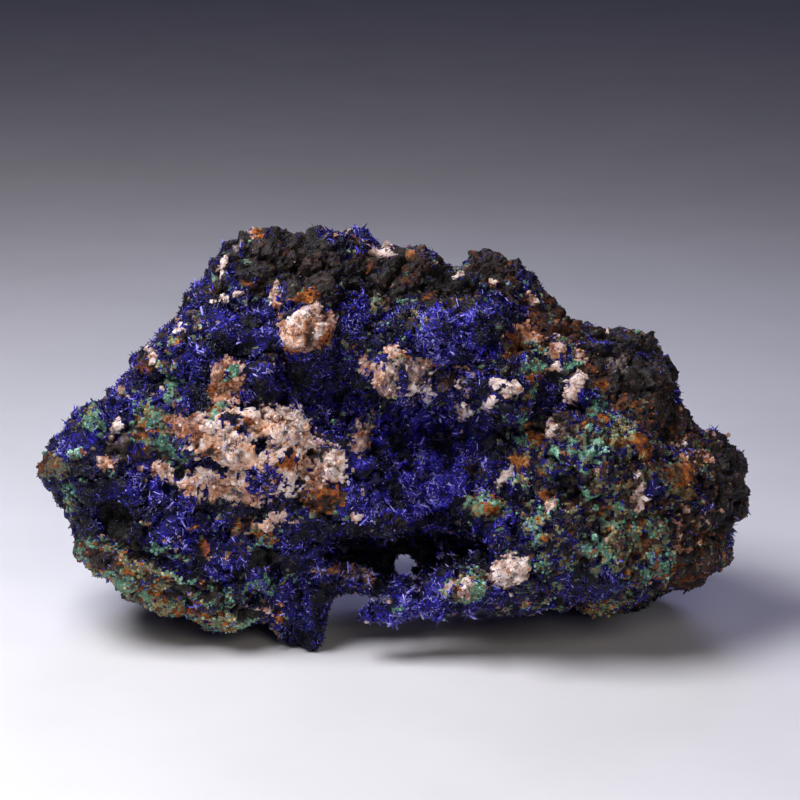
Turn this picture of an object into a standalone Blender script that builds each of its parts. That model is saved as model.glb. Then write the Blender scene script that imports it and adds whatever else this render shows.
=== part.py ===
"""A cabinet specimen of azurite with malachite, grown on a lump of iron-oxide rock.

The rock is 142 mm wide. Its broad face leans back, and it rests on a spur under the face and on two feet behind. The
face holds an open hollow, lined with a crust of bladed azurite crystals, which drains through a gap behind a hanging lip.

Everything is first shaped upright: X runs along the broad face, Y into the rock and Z up the face. The rock is then
leaned back, cut where it rests, and moved so that its origin is the middle of its base. Lengths are in metres.
"""

import math
import random

import bmesh
import bpy
from mathutils import Euler, Matrix, Vector, noise
from mathutils.bvhtree import BVHTree

MM = 0.001

FACE_LEAN = math.radians(15)
FRONT_DEPTH = 13 * MM
BACK_DEPTH = 37 * MM
ROCK_TRIANGLES = 4200
HOLLOW_TRIANGLES = 900
CRUST_THICKNESS = 2.0 * MM
CRUST_GAP = 0.35 * MM
BLADE_TRIES = 140
FACE_BLADE_TRIES = 80
BLADE_SPACING = 2.1 * MM

FUSE_VOXEL = 1.0 * MM
FLOOR_BLOCK = 300 * MM

# The edge of the broad face in millimetres, clockwise from its left tip, without the spur and the hanging lip.
FACE_EDGE = [
    (-71, 36), (-68, 41), (-62, 46), (-56, 51), (-50, 58), (-43, 65), (-38, 73), (-33, 81), (-27, 83),
    (-20, 81), (-12, 82), (-3, 79), (6, 79), (12, 75), (17, 78), (22, 76), (29, 71), (36, 66), (45, 63),
    (51, 61), (55, 54), (59, 48), (61, 43), (65, 42), (69, 36), (71, 29), (69, 20), (65, 14), (57, 12),
    (49, 10), (42, 8), (34, 9), (20, 10), (10, 11), (-6, 11), (-14, 11), (-22, 8), (-27, 5), (-34, 5),
    (-41, 7), (-49, 8), (-56, 13), (-63, 18), (-64, 24), (-68, 31),
]
SPINE = (Vector((-40, 38)), Vector((38, 32)))

# Where azurite covers the open face: the middle of each patch and its reach across and up, in millimetres.
AZURITE = [
    (-27, 56, 16, 8), (11, 64, 11, 7), (24, 52, 6, 6), (-42, 26, 22, 7), (-19, 10, 7, 9), (8, 10, 14, 4), (44, 28, 17, 14),
]


def point(x, y, z):
    """A place in the upright rock, given in millimetres."""
    return Vector((x, y, z)) * MM


def add_lump(bm, centre, radii, turn=(0, 0, 0)):
    """A rounded lump. Centre and radii are in millimetres, and turn is in degrees."""
    tilt = Euler([math.radians(angle) for angle in turn]).to_matrix().to_4x4()
    place = Matrix.Translation(point(*centre)) @ tilt @ Matrix.Diagonal((*point(*radii), 1))
    bmesh.ops.create_icosphere(bm, subdivisions=3, radius=1, matrix=place)


def add_block(bm, centre, sides, turn=(0, 0, 0)):
    """An angular block. Centre and sides are in millimetres, and turn is in degrees."""
    tilt = Euler([math.radians(angle) for angle in turn]).to_matrix().to_4x4()
    place = Matrix.Translation(point(*centre)) @ tilt @ Matrix.Diagonal((*point(*sides), 1))
    bmesh.ops.create_cube(bm, size=1, matrix=place)


def add_slab(bm):
    """The main mass: rings of the face's edge that draw in towards the spine, in front and behind."""
    ring_angles = [-80, -62, -44, -24, 0, 14, 28, 42, 54, 65, 75, 83]
    start, end = SPINE
    along = end - start
    rings = []
    for degrees in ring_angles:
        angle = math.radians(degrees)
        reach = math.cos(angle) ** 0.8
        depth = math.sin(angle) * (FRONT_DEPTH if degrees < 0 else BACK_DEPTH)
        ring = []
        for x, z in FACE_EDGE:
            edge = Vector((x, z))
            share = min(1, max(0, (edge - start).dot(along) / along.length_squared))
            place = (start + along * share).lerp(edge, reach) * MM
            ring.append(bm.verts.new((place.x, depth, place.y)))
        rings.append(ring)
    for ring, following in zip(rings, rings[1:]):
        for i, corner in enumerate(ring):
            bm.faces.new((following[i - 1], following[i], corner, ring[i - 1]))
    bm.faces.new(list(reversed(rings[0])))
    bm.faces.new(rings[-1])


def add_face_lumps(bm):
    """What stands forward of the broad face."""
    # The shoulder left of the hollow, and the knob of pale calcite on its rim.
    add_lump(bm, (-31, -4, 57), (17, 14, 11), (0, 10, 0))
    add_lump(bm, (-17.5, -15, 63), (5.5, 6.5, 5.5))
    add_lump(bm, (-17, -8, 68), (7, 8, 4.5))
    # The shelf of calcite, and its nose that runs into the hollow.
    add_lump(bm, (-32, -6, 42), (20, 13, 12), (0, 15, 0))
    add_lump(bm, (-12, -4, 34), (9, 9, 8), (0, -30, 0))
    # The dome over the hollow and the lumps of its right rim.
    add_lump(bm, (11, -12, 62), (13, 12, 7))
    add_lump(bm, (3, -16, 55), (8, 7, 5))
    add_lump(bm, (21, -18, 51), (8, 9, 7))
    # The right mass, which stands furthest forward.
    add_lump(bm, (39, -9, 36), (18, 17, 13), (0, 25, 0))
    add_lump(bm, (37, -10, 22), (18, 15, 11))
    add_lump(bm, (55, -1, 26), (13, 13, 13))
    add_lump(bm, (40, -9, 29), (17, 15.5, 12))
    add_lump(bm, (42, -2, 13), (10, 11, 6))
    # Knobs of malachite and pale calcite on the right mass and at the root of the lip.
    add_lump(bm, (20, -20, 28), (4.5, 5, 3.5))
    add_lump(bm, (25, -19, 17), (5, 5, 4))
    add_lump(bm, (13, -13, 13), (5, 4.5, 3.5))
    add_lump(bm, (33, -24, 25), (5, 4, 4))
    add_lump(bm, (47, -21, 33), (5, 4, 4.5))
    add_lump(bm, (50, -15, 19), (6, 5, 4.5))
    add_lump(bm, (36.5, -17, 51), (2.6, 4, 4))
    add_lump(bm, (22, -25, 51.5), (2.6, 3, 2.6))
    # The left tip, its grey knob and the bevelled ground below the shelf.
    add_lump(bm, (-63.5, 0, 36), (7.5, 7, 6))
    add_lump(bm, (-55, -6, 41), (5.5, 7, 5.5))
    add_lump(bm, (-47, -3, 22), (16, 11, 12), (0, 20, 0))
    add_lump(bm, (-32, -2, 10), (9, 8, 6))


def add_spur(bm):
    """The spur that the rock stands on in front."""
    add_lump(bm, (-20, 0, 12), (9, 8, 8))
    add_lump(bm, (-18, 0, 6.5), (5.5, 6, 5))
    add_lump(bm, (-16.8, 0, 3), (3.6, 4.5, 3.8))


def add_lip(bm):
    """The lip that hangs in front of the hollow's floor: a row of lumps that dwindles to a tip."""
    right, tip = Vector((32, -9, 13)), Vector((-3.6, -11, 7.6))
    count = 7
    for i in range(count):
        share = i / (count - 1)
        girth = 5 - 2.2 * share
        add_lump(bm, right.lerp(tip, share), (6 - 2 * share, girth * 1.2, girth))


def add_crest(bm):
    """The dark crest, and the bump right of its notch."""
    add_lump(bm, (-28, 4, 76), (6, 9, 6))
    add_lump(bm, (-13, 7, 75), (12, 13, 7))
    add_lump(bm, (3, 5, 74.5), (9, 11, 6.5))
    add_lump(bm, (17, 6, 73.5), (4.5, 8, 6))
    add_lump(bm, (25, 5, 67), (8, 10, 6), (0, 30, 0))


def add_shoulder_blocks(bm):
    """The right shoulder and edge, where the rock is broken into blocks."""
    add_block(bm, (33, 1, 62), (9, 10, 8), (10, 30, 20))
    add_block(bm, (40, 0, 58.5), (10, 11, 9), (-8, 22, -14))
    add_block(bm, (47.5, 1, 56), (9, 12, 8.5), (12, 28, 10))
    add_block(bm, (42, -5, 53), (9, 9, 8), (5, 10, 25))
    add_block(bm, (52, 1, 50.5), (8, 12, 8), (-10, 36, 18))
    add_block(bm, (48, -5, 47), (9, 9, 8), (12, 24, -10))
    add_block(bm, (55, 2, 44.5), (7.5, 12, 7.5), (10, 20, -15))
    add_block(bm, (59, 3, 38.5), (8, 13, 7), (5, 12, 8))
    add_block(bm, (64, 4, 34.5), (7, 13, 8), (-5, 35, -10))
    add_block(bm, (66, 3, 27.5), (7, 14, 8), (8, 20, 12))
    add_block(bm, (64, 3, 20), (7, 13, 7), (-6, 35, 5))


def add_back(bm):
    """The broken back and the two haunches that end in the feet behind."""
    add_block(bm, (-38, 20, 40), (36, 26, 30), (8, 12, 10))
    add_block(bm, (-6, 26, 48), (34, 24, 36), (-10, -8, 5))
    add_block(bm, (28, 22, 38), (34, 26, 32), (6, 14, -12))
    add_block(bm, (50, 14, 28), (24, 24, 24), (-12, 30, 8))
    add_lump(bm, (-37, 21, 22), (20, 17, 17))
    add_lump(bm, (43, 24, 22), (20, 16, 16.5))


def hollow_lumps(bm):
    """The open hollow in the face, and the deeper cave at its foot behind the lip."""
    add_lump(bm, (7, -24, 42), (18, 23, 14))
    add_lump(bm, (-9, -22, 47), (14, 18, 9), (0, 15, 0))
    add_lump(bm, (9, -23, 31), (15, 18, 9))
    add_lump(bm, (4, -8, 19), (19, 15, 7.5), (0, -6, 0))
    add_lump(bm, (-8, -8, 20), (9, 11, 6))


def gap_lumps(bm):
    """The way out of the cave's floor, and the arch under the rock between its feet."""
    add_lump(bm, (3, 20, 15), (4.2, 32, 4.2))
    add_lump(bm, (2, 30, 5), (24, 30, 10))
    add_lump(bm, (-9, 6, 3.5), (5.5, 20, 6.2))


def pit_lumps(bm):
    """Dark pits and clefts in the face, and the notch in the crest."""
    add_lump(bm, (-57, -15, 26), (5, 7, 5), (0, 20, 0))
    add_lump(bm, (-30, -19, 36), (6, 4, 1.8), (0, 12, 0))
    add_lump(bm, (-49, -16, 35), (5, 6, 4))
    add_lump(bm, (-33, -13, 13), (3, 4, 3))
    add_lump(bm, (12, -2, 80), (2.8, 16, 4.5))


def object_from(bm, name):
    mesh = bpy.data.meshes.new(name)
    bm.to_mesh(mesh)
    bm.free()
    thing = bpy.data.objects.new(name, mesh)
    bpy.context.scene.collection.objects.link(thing)
    return thing


def settle(thing):
    """Turns the object's modifiers into mesh."""
    graph = bpy.context.evaluated_depsgraph_get()
    mesh = bpy.data.meshes.new_from_object(thing.evaluated_get(graph))
    thing.modifiers.clear()
    thing.data = mesh
    return thing


def fuse(name, *makers, voxel=FUSE_VOXEL, smoothing=4):
    """One skin round everything that the makers add."""
    bm = bmesh.new()
    for make in makers:
        make(bm)
    thing = object_from(bm, name)
    remesh = thing.modifiers.new("fuse", "REMESH")
    remesh.mode = "VOXEL"
    remesh.voxel_size = voxel
    smooth = thing.modifiers.new("smooth", "SMOOTH")
    smooth.iterations = smoothing
    return settle(thing)


def thin_out(thing, triangles):
    """Collapses the mesh to about so many triangles."""
    thing.data.calc_loop_triangles()
    decimate = thing.modifiers.new("thin", "DECIMATE")
    decimate.ratio = triangles / len(thing.data.loop_triangles)
    return settle(thing)


def combine(thing, other, operation):
    boolean = thing.modifiers.new(operation.lower(), "BOOLEAN")
    boolean.operation = operation
    boolean.solver = "MANIFOLD"
    boolean.object = other
    settle(thing)
    return thing


def ramp(value, start, end):
    """0 at start, 1 at end, and smooth between them."""
    share = min(1, max(0, (value - start) / (end - start)))
    return share * share * (3 - 2 * share)


def ledge_height(place):
    """The layered ground at the lower left: ledges that dip to the right, each with a sharp upper edge."""
    spacing = 3.6
    across = 0.33 * place.x + 0.25 * place.y + 0.91 * place.z
    wander = 1.6 * noise.noise(place / 13)
    phase = (across + wander) / spacing % 1
    return 1.6 * (phase**2 - 0.35)


def block_height(place):
    """Broken ground: blocks about 13 mm across, each with its own height and slope."""
    size = 13
    _, points = noise.voronoi(place / size)
    own = noise.cell_vector(points[0] * 7.3) - Vector((0.5, 0.5, 0.5))
    return 2.6 * own.x + 0.55 * (place - points[0] * size).dot(own)


def rock_height(position):
    """How far the rock stands out or in at a place, along its normal."""
    place = position / MM
    layered = (1 - ramp(place.x, -26, -14)) * (1 - ramp(place.z, 19, 28)) * (1 - ramp(place.y, 4, 14))
    dark_top = ramp(place.z - 0.25 * place.y, 64, 72)
    shoulder = ramp(place.x + 0.5 * place.z, 66, 74) * ramp(place.y, -12, -2)
    behind = ramp(place.y, 4, 12)
    blocky = max(shoulder, behind, 0.45 * dark_top) * (1 - layered)
    lumpy = 1.5 * noise.noise(place / 11) + 1.3 * noise.noise(place / 5.5) + 0.5 * noise.noise(place / 2.8)
    return (lumpy + layered * ledge_height(place) + blocky * block_height(place)) * MM


def druse_height(position):
    """The uneven wall of the hollow."""
    place = position / MM
    return (1.3 * noise.noise(place / 7) + 0.7 * noise.noise(place / 3)) * MM


def displace(thing, height):
    """Moves each vertex along its normal by what height gives for its place."""
    normals = [vertex.normal.copy() for vertex in thing.data.vertices]
    for vertex, normal in zip(thing.data.vertices, normals):
        vertex.co += normal * height(vertex.co)
    thing.data.update()
    return thing


def copy_of(thing, name):
    copy = bpy.data.objects.new(name, thing.data.copy())
    bpy.context.scene.collection.objects.link(copy)
    return copy


def lean_back(thing):
    thing.data.transform(Matrix.Rotation(-FACE_LEAN, 4, "X"))
    return thing


def keep_largest(thing):
    """Removes crumbs that a cut left loose, and anything that hangs on by a corner only."""
    bm = bmesh.new()
    bm.from_mesh(thing.data)
    unseen = set(bm.faces)
    pieces = []
    while unseen:
        todo = [unseen.pop()]
        piece = list(todo)
        while todo:
            for edge in todo.pop().edges:
                for face in edge.link_faces:
                    if face in unseen:
                        unseen.remove(face)
                        todo.append(face)
                        piece.append(face)
        pieces.append(piece)
    largest = max(pieces, key=len)
    crumbs = [face for piece in pieces if piece is not largest for face in piece]
    bmesh.ops.delete(bm, geom=crumbs, context="FACES")
    bm.to_mesh(thing.data)
    bm.free()
    return thing


def blade_corners(root, direction, turn, length, width, thickness):
    """A bladed crystal's ten corners: four at its root, four at its shoulder and two along its chisel edge."""
    frame = direction.to_track_quat("Z", "X").to_matrix().to_4x4()
    place = Matrix.Translation(root) @ frame @ Matrix.Rotation(turn, 4, "Z")
    outline = [(-0.5, -0.5), (0.5, -0.5), (0.5, 0.5), (-0.5, 0.5)]
    corners = [(x * width, y * thickness, 0) for x, y in outline]
    corners += [(x * width, y * thickness, length - 0.8 * width) for x, y in outline]
    corners += [(-0.22 * width, 0, length), (0.22 * width, 0, length)]
    return [place @ Vector(corner) for corner in corners]


BLADE_FACES = [
    (3, 2, 1, 0), (0, 1, 5, 4), (1, 2, 6, 5), (2, 3, 7, 6), (3, 0, 4, 7),
    (4, 5, 9, 8), (5, 6, 9), (6, 7, 8, 9), (7, 4, 8),
]


def stand_blades(faces, count, lengths, seed, has_room):
    """Blades rooted just under the faces, at seeded places and angles, apart from each other and within the room."""
    chance = random.Random(seed)
    bm = bmesh.new()
    taken = []
    for face in chance.choices(faces, weights=[face.area for face in faces], k=count):
        sway = Vector([chance.uniform(-1, 1) for _ in range(3)])
        direction = (face.normal + 0.9 * sway).normalized()
        width = chance.uniform(1.2, 1.9) * MM
        length = chance.uniform(*lengths) * MM
        root = face.center - face.normal * 0.8 * MM
        corners = blade_corners(root, direction, chance.uniform(0, math.pi), length, width, 0.45 * width)
        middle_line = [root + direction * length * share / 4 for share in range(5)]
        apart = all((a - b).length > BLADE_SPACING for a in middle_line for b in taken)
        if apart and all(has_room(corner) for corner in corners):
            taken.extend(middle_line)
            verts = [bm.verts.new(corner) for corner in corners]
            for indices in BLADE_FACES:
                bm.faces.new([verts[i] for i in indices])
    return object_from(bm, "blades")


def skin_of(thing):
    bm = bmesh.new()
    bm.from_mesh(thing.data)
    tree = BVHTree.FromBMesh(bm)
    bm.free()
    return tree


def depth_inside(skin, place):
    """How deep a place lies under a closed skin, below zero outside it."""
    nearest, normal, _, distance = skin.find_nearest(place)
    return math.copysign(distance, (nearest - place).dot(normal))


def hollow_blades(wall, rock, hollow):
    """The blades of the crust: they stand on its inner wall, wherever that lies well inside the rock."""
    rock_skin, hollow_skin = skin_of(rock), skin_of(hollow)
    wall = copy_of(wall, "inward_wall")
    wall.data.flip_normals()
    faces = [face for face in wall.data.polygons if depth_inside(rock_skin, face.center) > 2 * MM]
    blades = stand_blades(
        faces, BLADE_TRIES, (3.2, 4.8), 11, lambda place: depth_inside(hollow_skin, place) > CRUST_GAP + 0.2 * MM
    )
    bpy.data.objects.remove(wall)
    return blades


def face_blades(rock, hollow):
    """Azurite blades on the open face, in the parts where azurite covers it."""
    hollow_skin = skin_of(hollow)
    faces = []
    for face in rock.data.polygons:
        place = Matrix.Rotation(FACE_LEAN, 3, "X") @ face.center / MM
        covered = any(math.hypot((place.x - x) / across, (place.z - z) / high) < 1 for x, z, across, high in AZURITE)
        if covered and face.normal.y < -0.3:
            faces.append(face)
    return stand_blades(
        faces, FACE_BLADE_TRIES, (3.0, 4.4), 5, lambda place: depth_inside(hollow_skin, place) < -0.3 * MM
    )


def floor_block():
    bm = bmesh.new()
    bmesh.ops.create_cube(bm, size=FLOOR_BLOCK)
    bmesh.ops.translate(bm, verts=bm.verts, vec=(0, 0, -FLOOR_BLOCK / 2))
    return object_from(bm, "floor_block")


def middle_of_base(thing):
    corners = [vertex.co for vertex in thing.data.vertices]
    x = (min(corner.x for corner in corners) + max(corner.x for corner in corners)) / 2
    y = (min(corner.y for corner in corners) + max(corner.y for corner in corners)) / 2
    return Vector((x, y, 0))


def paint(thing, name, colour, roughness):
    material = bpy.data.materials.new(name)
    material.use_nodes = True
    shader = material.node_tree.nodes["Principled BSDF"]
    shader.inputs["Base Color"].default_value = (*colour, 1)
    shader.inputs["Roughness"].default_value = roughness
    thing.data.materials.clear()
    thing.data.materials.append(material)


def build():
    for old in list(bpy.data.objects):
        bpy.data.objects.remove(old)

    skin = fuse("skin", add_slab, add_face_lumps, add_spur, add_lip, add_crest, add_shoulder_blocks, add_back)
    pits = lean_back(displace(fuse("pits", pit_lumps), druse_height))
    rock = thin_out(lean_back(displace(skin, rock_height)), ROCK_TRIANGLES)
    hollow = fuse("hollow", hollow_lumps)
    hollow = thin_out(lean_back(displace(hollow, druse_height)), HOLLOW_TRIANGLES)
    gap = thin_out(lean_back(displace(fuse("gap", gap_lumps), druse_height)), HOLLOW_TRIANGLES)
    thin_out(pits, HOLLOW_TRIANGLES // 2)
    floor = floor_block()

    shrunk = displace(copy_of(hollow, "shrunk"), lambda place: -CRUST_GAP)
    wall = displace(copy_of(hollow, "wall"), lambda place: -CRUST_THICKNESS)
    crust = combine(copy_of(rock, "azurite_crust"), wall, "DIFFERENCE")
    combine(crust, shrunk, "INTERSECT")
    combine(crust, gap, "DIFFERENCE")
    keep_largest(crust)
    inner_blades = hollow_blades(wall, rock, hollow)
    combine(crust, inner_blades, "UNION")
    keep_largest(crust)

    outer_blades = face_blades(rock, hollow)
    matrix = rock
    matrix.name = "matrix"
    for cutter in (hollow, gap, pits, floor):
        combine(matrix, cutter, "DIFFERENCE")
    keep_largest(matrix)
    combine(matrix, outer_blades, "UNION")
    keep_largest(matrix)

    middle = middle_of_base(matrix)
    for piece in (matrix, crust):
        piece.data.transform(Matrix.Translation(-middle))

    for helper in (hollow, shrunk, gap, pits, floor, wall, inner_blades, outer_blades):
        bpy.data.objects.remove(helper)
    paint(matrix, "gossan", (0.07, 0.055, 0.045), 0.85)
    paint(crust, "azurite", (0.03, 0.03, 0.3), 0.25)
    return middle


build()
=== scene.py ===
import math

import bmesh
import bpy
import numpy as np
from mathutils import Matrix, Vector
from mathutils.bvhtree import BVHTree


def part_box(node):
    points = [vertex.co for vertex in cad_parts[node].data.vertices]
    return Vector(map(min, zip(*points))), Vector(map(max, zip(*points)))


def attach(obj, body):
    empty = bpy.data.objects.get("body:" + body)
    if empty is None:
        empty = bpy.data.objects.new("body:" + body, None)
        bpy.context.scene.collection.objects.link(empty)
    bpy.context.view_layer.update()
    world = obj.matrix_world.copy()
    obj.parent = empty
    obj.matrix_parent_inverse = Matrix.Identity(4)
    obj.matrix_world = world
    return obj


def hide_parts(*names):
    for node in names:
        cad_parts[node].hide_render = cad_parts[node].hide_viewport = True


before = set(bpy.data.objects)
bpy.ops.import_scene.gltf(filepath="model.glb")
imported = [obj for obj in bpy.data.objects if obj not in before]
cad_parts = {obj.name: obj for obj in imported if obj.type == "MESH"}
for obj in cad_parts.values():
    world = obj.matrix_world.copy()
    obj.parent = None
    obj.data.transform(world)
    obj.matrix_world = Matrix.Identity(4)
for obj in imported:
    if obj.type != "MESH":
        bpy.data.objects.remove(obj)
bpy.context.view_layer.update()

# A hand-sized lump of gossan, the rusty cap of a copper vein, 143 mm across. Blue azurite has grown
# over its face as a druse of small flat blades, with balls of green malachite, sugary calcite
# and earthy limonite between them. Lengths here are in millimetres unless they say otherwise.
MM = 0.001

# The broad face leans back by this much, and the front view looks straight at it.
FACE_LEAN = math.radians(15)
TOWARDS_VIEWER = (0, -math.cos(FACE_LEAN), math.sin(FACE_LEAN))

# How far across and deep the middle of the rock's base lies from the front view's own zero.
MIDDLE = (0.2361, 18.4137)

# The camera in the front view: across, out from the face and up. Its lens suits a 36 mm sensor.
EYE = (1.4, 657.0, 49.4)
LENS = 147.8

# The front view is drawn 800 points wide, 5 points to the millimetre, counted right and down.
POINTS_PER_MM = 5.0
VIEW_MIDDLE = 400.0

# The size of the skin's faces, how often it is smoothed, how far the crust is swollen to close the
# gap behind it, and how near the crust a face has to be to count as part of the hollow.
SKIN_SIZE = 0.62
SKIN_SMOOTHING = 8
CRUST_SWELL = 0.4
HOLLOW_REACH = 1.0

GOSSAN, LIMONITE, MALACHITE, CALCITE, AZURITE = range(5)

# The rock under each mineral's loose grains is this share as pale as they are, in the order above, as
# painted shade between the grains.
PAINTED_SHADE_UNDER_GRAINS = (0.95, 0.95, 0.8, 1.0, 0.9)
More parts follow.
